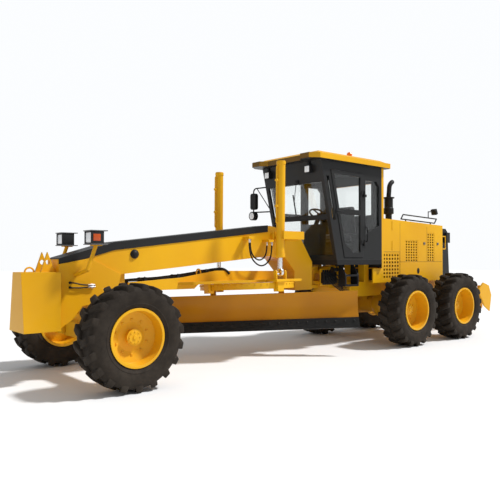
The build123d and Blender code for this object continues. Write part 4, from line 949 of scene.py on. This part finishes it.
def makeLiftTrim(word):
    joint = jointNamed[f"lift_stroke_{word}"]
    pivot, down = Vector(joint["pos_m"]), Vector(joint["axis"])
    foot, top = pivot + liftTrim["below"] * down, pivot - liftTrim["above"] * down
    build = bmesh.new()
    for span, radius in liftTrim["collars"]:
        start, end = (foot + reach * down for reach in span)
        addRing(build, start, end, liftTrim["rod"], radius)
    addStub(build, top, down, *liftTrim["cap"])
    for i in range(liftTrim["bolts"]):
        angle = i * tau / liftTrim["bolts"]
        spot = liftTrim["boltRing"] * Vector((cos(angle), sin(angle), 0.0))
        addBolt(build, top + spot, -down, *liftTrim["bolt"])
    route = [pivot + reach * down + Vector((out, 0, 0)) for reach, out in liftTrim["route"]]
    addTube(build, route, liftTrim["pipe"])
    for reach in liftTrim["clips"]:
        addBlock(build, pivot + reach * down, liftTrim["clip"], liftTrim["clipRound"])
    finishPiece(f"liftTrim_{word}", build, yellowPaint, f"lift_barrel_{word}")


for word in ("left", "right"):
    makeLiftTrim(word)
print("lift cylinder trim made")

# Round-headed bolts along the cutting edge, in the blade's own axes
edgeBolts = {
    "turn": 40.0,
    "span": (-1.680, 1.760),
    "count": 24,
    "row": (0.0969, 0.495),
    "lean": (0.953, 0.303),
    "collar": ((-0.004, 0.004), 0.019, 14),
    "head": ((0.003, 0.011), 0.0171, 14, 0.0095),
}


def makeEdgeBolts():
    turn = radians(edgeBolts["turn"])
    along = Vector((cos(turn), -sin(turn), 0.0))
    forward = Vector((sin(turn), cos(turn), 0.0))
    out = edgeBolts["lean"][0] * forward + Vector((0, 0, edgeBolts["lean"][1]))
    build = bmesh.new()
    start, end = edgeBolts["span"]
    for i in range(edgeBolts["count"]):
        reach = start + i * (end - start) / (edgeBolts["count"] - 1)
        spot = Vector((circlePlace.x, 0, 0)) + reach * along + edgeBolts["row"][0] * forward
        spot.z = edgeBolts["row"][1]
        for key in ("collar", "head"):
            addStub(build, spot, out, *edgeBolts[key])
    finishTilted("edgeBolts", build, edgeSteel, "blade")


makeEdgeBolts()
print("cutting edge bolts made")

# Bolted covers on the tandem cases
caseCover = {
    "face": 0.790,
    "plate": ((-0.230, 0.230), (-0.004, 0.010), (-0.120, 0.120)),
    "round": 0.004,
    "boltColumns": (-2, -1, 0, 1, 2),
    "boltPitch": 0.10488,
    "boltRise": 0.0984,
    "bolt": (0.011, 0.010),
}


def makeCaseCovers():
    middle = middleOf("tandem_cases")
    face = caseCover["face"] + caseCover["plate"][1][1]
    build = bmesh.new()
    for side in bothSides:
        place = (middle.x, caseCover["face"], middle.z)
        addBlock(build, place, caseCover["plate"], caseCover["round"], side)
        for column in caseCover["boltColumns"]:
            x = middle.x + column * caseCover["boltPitch"]
            for rise in (-caseCover["boltRise"], caseCover["boltRise"]):
                addBolt(build, (x, side * face, middle.z + rise), (0, side, 0), *caseCover["bolt"])
    finishPiece("caseCovers", build, yellowPaint, "rear_frame")


# Worn points on the ripper's shanks
ripperPoint = {
    "rows": (-2, -1, 0, 1, 2),
    "pitchShare": 0.2,
    "size": (0.150, 0.072, 0.075),
    "taper": (1, 0.7, 0.35),
    "tilt": 24.0,
    "place": (0.250, 0.050),
    "round": 0.005,
}


def makeRipperPoints():
    low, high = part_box("ripper")
    pitch = ripperPoint["pitchShare"] * (high[1] - low[1])
    x, z = low[0] + ripperPoint["place"][0], low[2] + ripperPoint["place"][1]
    tilt = Matrix.Rotation(radians(ripperPoint["tilt"]), 3, "Y")
    build = bmesh.new()
    for row in ripperPoint["rows"]:
        made = bmesh.ops.create_cube(build, size=1.0)["verts"]
        bmesh.ops.scale(build, verts=made, vec=ripperPoint["size"])
        tip = [vert for vert in made if vert.co.x > 0]
        bmesh.ops.scale(build, verts=tip, vec=ripperPoint["taper"])
        bmesh.ops.rotate(build, verts=made, cent=(0, 0, 0), matrix=tilt)
        bmesh.ops.translate(build, verts=made, vec=(x, row * pitch, z))
    roundEdges(build, build.edges[:], ripperPoint["round"])
    finishPiece("ripperPoints", build, edgeSteel, "ripper")


makeCaseCovers()
makeRipperPoints()
print("chassis trim made")

# Steering hoses between two ports on the nose and their fittings
noseLines = {
    "ports": ((4.32, 1.240), (4.32, 1.180)),
    "fittings": ((4.06, 1.205), (4.06, 1.180)),
    "root": 0.190,
    "out": 0.232,
    "bow": 0.004,
    "sag": 0.008,
    "straight": 0.05,
    "radius": 0.009,
    "boss": ((0.0, 0.044), 0.018, 18, 0.014),
    "sleeve": ((0.030, -0.060), 0.0125, 6),
    "nut": ((-0.010, -0.030), 0.0165, 16),
    "elbowX": 0.050,
    "elbow": ((0.0, -0.042), 0.0120, 14),
}


def makeNoseLines():
    lines, metal = bmesh.new(), bmesh.new()
    root, out, straight = noseLines["root"], noseLines["out"], noseLines["straight"]
    bowed = out + noseLines["bow"]
    for (portX, portZ), (endX, endZ) in zip(noseLines["ports"], noseLines["fittings"]):
        route = [
            (portX, root, portZ),
            (portX, out, portZ),
            (portX - straight, bowed, portZ - noseLines["bow"]),
            ((portX + endX) / 2, bowed, (portZ + endZ) / 2 - noseLines["sag"]),
            (endX + straight, out, endZ),
            (endX, out, endZ),
        ]
        addTube(lines, route, noseLines["radius"])
        addStub(lines, (portX, root, portZ), (0, 1, 0), *noseLines["boss"])
        for key in ("sleeve", "nut"):
            addStub(metal, (endX, out, endZ), (1, 0, 0), *noseLines[key])
        addStub(metal, (endX - noseLines["elbowX"], out, endZ), (0, 1, 0), *noseLines["elbow"])
    finishPiece("noseLines", lines, hoseRubber, "front_frame")
    finishPiece("noseFittings", metal, chromeRod, "front_frame")


# A dark dome on each side of the front frame
sideDome = {
    "place": (3.407, 0.17, 1.600),
    "radius": 0.056,
    "flat": (1, 0.8, 1),
    "collar": ((-0.01, 0.012), 0.062, 32),
}


def makeSideDome():
    x, y, z = sideDome["place"]
    build = bmesh.new()
    for side in bothSides:
        dome = bmesh.ops.create_uvsphere(build, u_segments=32, v_segments=16, radius=sideDome["radius"])
        bmesh.ops.scale(build, verts=dome["verts"], vec=sideDome["flat"])
        bmesh.ops.translate(build, verts=dome["verts"], vec=(x, side * y, z))
        addStub(build, (x, side * y, z), (0, side, 0), *sideDome["collar"])
    finishPiece("sideDomes", build, blackPaint, "front_frame")


# The dark cover carried on over the beam as far as the saddle
coverTail = {"back": 1.010, "overlap": 0.001, "depth": 0.095, "sheet": 0.012, "slope": 0.1178}


def makeCoverTail():
    low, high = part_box("top_cover")
    front, top, half = low[0] + coverTail["overlap"], (0, 0, high[2]), high[1]
    sheet, spanX = coverTail["sheet"], (coverTail["back"], front)
    skirt = (spanX, (half - sheet, half), (-coverTail["depth"] - sheet, -sheet))
    build = bmesh.new()
    addBlock(build, top, (spanX, (-half, half), (-sheet, 0)))
    for side in bothSides:
        addBlock(build, top, skirt, side=side)
    for vert in build.verts:
        vert.co.z += coverTail["slope"] * (front - vert.co.x)
    finishPiece("coverTail", build, charcoalPaint, "front_frame")


# A horn bell on a strap under the cab floor
horn = {
    "place": (-0.30, 0.47, 1.345),
    "bell": ((0.0, 0.090), 0.020, 24, 0.055),
    "driver": ((-0.035, 0.004), 0.032, 24),
    "strapX": (-0.030, -0.018),
    "strapY": (-0.015, 0.015),
    "strapFoot": 0.020,
    "strapRound": 0.002,
}


def makeHorn():
    place = horn["place"]
    build = bmesh.new()
    for key in ("bell", "driver"):
        addStub(build, place, (1, 0, 0), *horn[key])
    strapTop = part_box("cab_base")[0][2] + sunk - place[2]
    strap = (horn["strapX"], horn["strapY"], (horn["strapFoot"], strapTop))
    addBlock(build, place, strap, horn["strapRound"])
    finishPiece("hornBell", build, blackPaint, "rear_frame")


# Oil valves on a plate at each side of the hinge tongue, with steel pipes back to the rails
valveGear = {
    "plate": ((-0.500, -0.120), (0.256, 0.270), (1.060, 1.360)),
    "plateRound": 0.003,
    "boltX": (-0.470, -0.390),
    "boltZ": (1.090, 1.330),
    "bolt": (0.011, 0.010),
    "first": -0.440,
    "pitch": 0.056,
    "count": 6,
    "centre": 1.205,
    "middle": 0.308,
    "face": 0.346,
    "section": ((-0.024, 0.024), (-0.042, 0.038), (-0.095, 0.095)),
    "round": 0.006,
    "cap": ((0.091, 0.135), 0.018, 18, 0.014),
    "plug": ((-0.091, -0.121), 0.020, 6),
    "portRise": 0.045,
    "port": ((-0.004, 0.020), 0.013, 6),
    "pipe": 0.010,
    "pipeOut": (0.376, 0.002),
    "pipeBack": 0.010,
    "pipeFall": 0.018,
    "rail": ((-0.548, 0.010), (-0.618, 0.0), (-0.668, 0.0)),
    "railY": (0.360, 0.016),
    "railZ": (1.085, -0.034),
}


def makeValveGear():
    plates, gear, pipes = bmesh.new(), bmesh.new(), bmesh.new()
    z, face, portRise = valveGear["centre"], valveGear["face"], valveGear["portRise"]
    for side in bothSides:
        axis = (0, side, 0)
        addBlock(plates, (0, 0, 0), valveGear["plate"], valveGear["plateRound"], side)
        for x in valveGear["boltX"]:
            for boltZ in valveGear["boltZ"]:
                addBolt(plates, (x, side * valveGear["plate"][1][1], boltZ), axis, *valveGear["bolt"])
        for i in range(valveGear["count"]):
            x, y = valveGear["first"] + i * valveGear["pitch"], valveGear["middle"]
            addBlock(gear, (x, y, z), valveGear["section"], valveGear["round"], side)
            for key in ("cap", "plug"):
                addStub(gear, (x, side * y, z), (0, 0, 1), *valveGear[key])
            for rise in (portRise, -portRise):
                addStub(pipes, (x, side * face, z + rise), axis, *valveGear["port"])
            starts = (valveGear[key] for key in ("pipeOut", "railY", "railZ"))
            out, railY, railZ = (start + i * step for start, step in starts)
            portZ = z + portRise
            route = [
                (x, face, portZ),
                (x, out, portZ),
                (x - valveGear["pipeBack"], out, portZ - i * valveGear["pipeFall"]),
            ]
            route += [(railX, railY, railZ + rise) for railX, rise in valveGear["rail"]]
            addTube(pipes, mirrored(route, side), valveGear["pipe"])
    finishPiece("valvePlates", plates, yellowPaint, "rear_frame")
    finishPiece("valveGear", gear, blackPaint, "rear_frame")
    finishPiece("valvePipes", pipes, blackPaint, "rear_frame")


makeNoseLines()
makeSideDome()
makeCoverTail()
makeHorn()
makeValveGear()
print("frame fittings made")

# Operator's seat: two padded cushions on a ribbed base
seatForm = {
    "cushion": (0.330, 0.460),
    "cushionBack": 0.145,
    "backDepth": 0.130,
    "gap": 0.002,
    "round": 0.035,
    "headHeight": 0.2,
    "headTaper": (1, 0.86, 1),
    "swell": 0.012,
    "voxel": 0.008,
    "pressure": 4.0,
    "frames": 20,
    "baseMiddle": 0.330,
    "tray": ((-0.20, 0.24), (-0.20, 0.20), (0.285, 0.336)),
    "foot": ((-0.19, 0.19), (-0.19, 0.19), (0.0, 0.052)),
    "ribs": 5,
    "ribHalf": (0.150, 0.162),
    "ribRise": (0.050, 0.047),
    "ribHeight": 0.049,
    "trayRound": 0.012,
    "ribRound": 0.010,
    "footRound": 0.008,
}


def swellPad(build, name):
    # Voxel remesh, then cloth with inner pressure, each point's travel capped
    piece = placeObject(name, bakeMesh(build, name))
    remesh = piece.modifiers.new("remesh", "REMESH")
    remesh.mode = "VOXEL"
    remesh.voxel_size = seatForm["voxel"]
    bpy.context.view_layer.update()
    even = bpy.data.meshes.new_from_object(piece.evaluated_get(bpy.context.evaluated_depsgraph_get()))
    piece.modifiers.clear()
    piece.data = even
    start = [vert.co.copy() for vert in even.vertices]
    cloth = piece.modifiers.new("swell", "CLOTH")
    cloth.settings.use_pressure = True
    cloth.settings.uniform_pressure_force = seatForm["pressure"]
    cloth.settings.effector_weights.gravity = 0.0
    cloth.point_cache.frame_end = seatForm["frames"]
    for frameNumber in range(1, seatForm["frames"] + 1):
        bpy.context.scene.frame_set(frameNumber)
    swollen = piece.evaluated_get(bpy.context.evaluated_depsgraph_get()).data
    for vert, first, moved in zip(even.vertices, start, swollen.vertices):
        travel = moved.co - first
        if travel.length > seatForm["swell"]:
            travel *= seatForm["swell"] / travel.length
        vert.co = first + travel
    piece.modifiers.clear()
    bpy.context.scene.frame_set(1)
    even.shade_smooth()
    even.materials.append(seatCloth)
    return piece


def makeSeat():
    low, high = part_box("seat")
    gap = seatForm["gap"]
    inset = seatForm["swell"] + gap
    cushionLow, cushionHigh = (low[2] + z for z in seatForm["cushion"])
    left, right = low[1] + inset, high[1] - inset
    cushion, back = bmesh.new(), bmesh.new()
    lowCorner = (low[0] + seatForm["cushionBack"], left, cushionLow + gap)
    addBox(cushion, lowCorner, (high[0] - inset, right, cushionHigh - inset), seatForm["round"])
    lowCorner = (low[0] + inset, left, cushionHigh + 2 * gap)
    backFront = low[0] + seatForm["backDepth"] - inset
    addBox(back, lowCorner, (backFront, right, high[2] - inset), seatForm["round"])
    head = [vert for vert in back.verts if vert.co.z > high[2] - seatForm["headHeight"]]
    bmesh.ops.scale(back, verts=head, vec=seatForm["headTaper"])
    for build, name in ((cushion, "seatCushion"), (back, "seatBack")):
        piece = swellPad(build, name)
        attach(piece, "rear_frame")
        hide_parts("seat")
    base = bmesh.new()
    place = (low[0] + seatForm["baseMiddle"], 0, low[2])
    addBlock(base, place, seatForm["tray"], seatForm["trayRound"])
    for i in range(seatForm["ribs"]):
        half = seatForm["ribHalf"][i % 2]
        rise = seatForm["ribRise"][0] + i * seatForm["ribRise"][1]
        rib = ((-half, half), (-half, half), (rise, rise + seatForm["ribHeight"]))
        addBlock(base, place, rib, seatForm["ribRound"])
    addBlock(base, place, seatForm["foot"], seatForm["footRound"])
    piece = finishPiece("seatBase", base, blackPaint, "rear_frame")
    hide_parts("seat")


makeSeat()
print("seat made")

# Hood: panel joints, a filler port, and hinges with their leaves
hoodTrim = {
    "joint": (-0.002, 0.002),
    "jointDepth": (-0.004, 0.0012),
    "levelJoints": ((-1.320, -1.860, 1.662), (-1.875, -3.280, 1.475)),
    "uprightJoints": ((-1.868, 1.120, 2.195), (-2.745, 1.480, 2.160)),
    "port": (-2.450, 1.300),
    "portSize": (0.042, 0.060, 1),
    "portDepth": 0.008,
    "hinges": ((-1.630, 2.060, 2.230), (-1.630, 1.690, 1.860)),
    "hingeRadius": 0.009,
    "leaf": (-0.028, 0.028),
    "leafDepth": (-0.004, 0.003),
    "leafEnd": 0.01,
}


def makeHoodTrim():
    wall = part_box("hood")[1][1]
    joint, jointDepth, leafEnd = hoodTrim["joint"], hoodTrim["jointDepth"], hoodTrim["leafEnd"]
    portX, portZ = hoodTrim["port"]
    joints, hinges = bmesh.new(), bmesh.new()
    for side in bothSides:
        for front, back, z in hoodTrim["levelJoints"]:
            addBlock(joints, (0, wall, z), ((back, front), jointDepth, joint), side=side)
        for x, low, high in hoodTrim["uprightJoints"]:
            addBlock(joints, (x, wall, 0), (joint, jointDepth, (low, high)), side=side)
        port = bmesh.ops.create_cone(
            joints, cap_ends=True, segments=28, radius1=1.0, radius2=0.9, depth=hoodTrim["portDepth"]
        )["verts"]
        outward = Matrix.Rotation(-side * pi / 2, 3, "X")
        bmesh.ops.scale(joints, verts=port, vec=hoodTrim["portSize"])
        bmesh.ops.rotate(joints, verts=port, cent=(0, 0, 0), matrix=outward)
        bmesh.ops.translate(joints, verts=port, vec=(portX, side * wall, portZ))
        for x, low, high in hoodTrim["hinges"]:
            addRod(hinges, (x, side * wall, low), (x, side * wall, high), hoodTrim["hingeRadius"], 14)
            leaf = (hoodTrim["leaf"], hoodTrim["leafDepth"], (low + leafEnd, high - leafEnd))
            addBlock(hinges, (x, wall, 0), leaf, side=side)
    finishPiece("hoodJoints", joints, blackPaint, "rear_frame")
    finishPiece("hoodHinges", hinges, yellowPaint, "rear_frame")


# Paddle latches on the hood's side panels
hoodLatch = {
    "places": ((-2.655, 1.830), (-3.120, 1.830)),
    "plate": ((-0.030, 0.030), (-0.004, 0.010), (-0.024, 0.024)),
    "plateRound": 0.004,
    "lockX": -0.012,
    "lock": ((0.008, 0.015), 0.009, 18),
    "paddle": ((0.0, 0.024), (0.009, 0.015), (-0.0144, 0.0144)),
    "paddleRound": 0.002,
}


def makeHoodLatches():
    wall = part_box("hood")[1][1]
    build = bmesh.new()
    for side in bothSides:
        for x, z in hoodLatch["places"]:
            addBlock(build, (x, wall, z), hoodLatch["plate"], hoodLatch["plateRound"], side)
            lockPlace = (x + hoodLatch["lockX"], side * wall, z)
            addStub(build, lockPlace, (0, side, 0), *hoodLatch["lock"])
            addBlock(build, (x, wall, z), hoodLatch["paddle"], hoodLatch["paddleRound"], side)
    finishPiece("hoodLatches", build, greyPaint, "rear_frame")


# A grab loop on each side of the radiator cowl
grabLoop = {
    "spanX": (-3.345, -3.470),
    "spanZ": (1.730, 1.985),
    "wallInset": 0.060,
    "root": 0.01,
    "reach": 0.055,
    "armEnd": 0.02,
    "bend": 0.03,
    "radius": 0.012,
}


def makeGrabLoops():
    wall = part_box("radiator_housing")[1][1] - grabLoop["wallInset"]
    root, out = wall - grabLoop["root"], wall + grabLoop["reach"]
    (front, back), (low, high) = grabLoop["spanX"], grabLoop["spanZ"]
    armEnd, bend = back + grabLoop["armEnd"], grabLoop["bend"]
    routes = [[(front, root, z), (front, out, z), (armEnd, out, z), (back, out, z)] for z in (low, high)]
    grip = [(back + bend, low), (back, low), (back, low + bend)]
    grip += [(back, high - bend), (back, high), (back + bend, high)]
    routes.append([(x, out, z) for x, z in grip])
    build = bmesh.new()
    for side in bothSides:
        for route in routes:
            addTube(build, mirrored(route, side), grabLoop["radius"])
    finishPiece("grabLoops", build, yellowPaint, "rear_frame")


makeHoodTrim()
makeHoodLatches()
makeGrabLoops()
print("hood trim made")

# A lever with its plate on each door
doorLever = {
    "place": (-0.045, 0.730, 2.325),
    "plate": ((-0.030, 0.030), (-0.006, 0.006), (-0.040, 0.040)),
    "plateRound": 0.004,
    "spindle": ((0.0, 0.038), 0.011),
    "grip": ((0.012, 0.034, 0.0), (-0.03, 0.040, 0.0), (-0.120, 0.034, -0.012)),
    "gripRadius": 0.010,
}


def makeDoorLevers():
    place = Vector(doorLever["place"])
    grip = [place + Vector(step) for step in doorLever["grip"]]
    for side, word in zip(bothSides, ("left", "right")):
        build = bmesh.new()
        addBlock(build, place, doorLever["plate"], doorLever["plateRound"], side)
        addStub(build, *mirrored([place, (0, 1, 0)], side), *doorLever["spindle"])
        addTube(build, mirrored(grip, side), doorLever["gripRadius"])
        finishPiece(f"doorLever_{word}", build, blackPaint, f"door_{word}")


# A grab handle behind each door
grabHandle = {
    "x": -0.785,
    "spanZ": (1.830, 2.080),
    "root": 0.712,
    "out": 0.765,
    "bend": 0.05,
    "radius": 0.011,
}


def makeGrabHandles():
    root, out, bend = (grabHandle[key] for key in ("root", "out", "bend"))
    low, high = grabHandle["spanZ"]
    route = [(root, low), (out, low), (out, low + bend), (out, high - bend), (out, high), (root, high)]
    route = [(grabHandle["x"], y, z) for y, z in route]
    build = bmesh.new()
    for side in bothSides:
        addTube(build, mirrored(route, side), grabHandle["radius"])
    finishPiece("grabHandles", build, blackPaint, "rear_frame")


# A wiper on the upper windscreen: motor box, bent arm and rubber blade
wiper = {
    "pivot": (0.10, 2.842),
    "sweep": (-0.06, 2.470),
    "lean": 0.218,
    "box": ((-0.012, 0.020), (-0.035, 0.035), (-0.028, 0.028)),
    "boxRound": 0.006,
    "root": 0.016,
    "knuckle": (0.024, 0.0, -0.03),
    "elbow": (0.014, 2.65),
    "armRadius": 0.006,
    "blade": (2.640, 2.290),
    "bladeInset": 0.014,
    "bladeRadius": 0.011,
}


def makeWiper():
    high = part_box("cab_frame")[1]

    def onScreen(y, z, proud=0.0):
        return Vector((high[0] - wiper["lean"] * (high[2] - z) + proud, y, z))

    pivotY, pivotZ = wiper["pivot"]
    sweepY, sweepZ = wiper["sweep"]
    pivot = onScreen(pivotY, pivotZ)
    elbow, elbowZ = wiper["elbow"]
    build = bmesh.new()
    addBlock(build, pivot, wiper["box"], wiper["boxRound"])
    arm = [
        onScreen(pivotY, pivotZ, wiper["root"]),
        pivot + Vector(wiper["knuckle"]),
        onScreen(0.5 * (pivotY + sweepY), elbowZ, elbow),
        onScreen(sweepY, sweepZ),
    ]
    addTube(build, arm, wiper["armRadius"])
    start, end = (onScreen(sweepY, z, -wiper["bladeInset"]) for z in wiper["blade"])
    addRod(build, start, end, wiper["bladeRadius"], 10)
    finishPiece("screenWiper", build, blackPaint, "rear_frame")


makeDoorLevers()
makeGrabHandles()
makeWiper()
print("door fittings made")

# Floor and soft studio light
studio = {
    "floorHalf": 60.0,
    "floorTones": ((0.86, 0.86, 0.86), (0.82, 0.82, 0.82)),
    "floorRough": 0.8,
    "backdropColour": (0.97, 0.985, 1.0, 1.0),
    "sky": 0.50,
    "backdrop": 1.0,
    "sun": 3.4,
    "softness": 0.10,
    "aim": (0.50, -0.38, -0.78),
}
floorBuild = bmesh.new()
bmesh.ops.create_grid(floorBuild, x_segments=1, y_segments=1, size=studio["floorHalf"])
floor = placeObject("floor", bakeMesh(floorBuild, "floor"))
paleFloor, floorTree, floorShader = startMaterial("paleFloor")
floorTone = rangeNode(floorTree, noiseNode(floorTree, 0.6, 3.0), 0.3, 0.7)
floorColour = mixColour(floorTree, floorTone, *studio["floorTones"])
feed(floorTree, floorShader, {"Base Color": floorColour, "Roughness": studio["floorRough"]})
floor.data.materials.append(paleFloor)

world = bpy.data.worlds.new("studio")
world.use_nodes = True
worldTree = world.node_tree
seen = addNode(worldTree, "ShaderNodeLightPath").outputs
straight = mathNode(worldTree, "MAXIMUM", seen["Is Camera Ray"], seen["Is Transmission Ray"])
strength = rangeNode(worldTree, straight, 0.0, 1.0, studio["sky"], studio["backdrop"])
backdrop = {"Color": studio["backdropColour"], "Strength": strength}
feed(worldTree, worldTree.nodes["Background"], backdrop)
bpy.context.scene.world = world
sun = bpy.data.lights.new("sun", "SUN")
sun.energy = studio["sun"]
sun.angle = studio["softness"]
aimAlong(placeObject("sun", sun), studio["aim"])
bpy.context.scene.view_settings.view_transform = "Standard"
print("stage set")
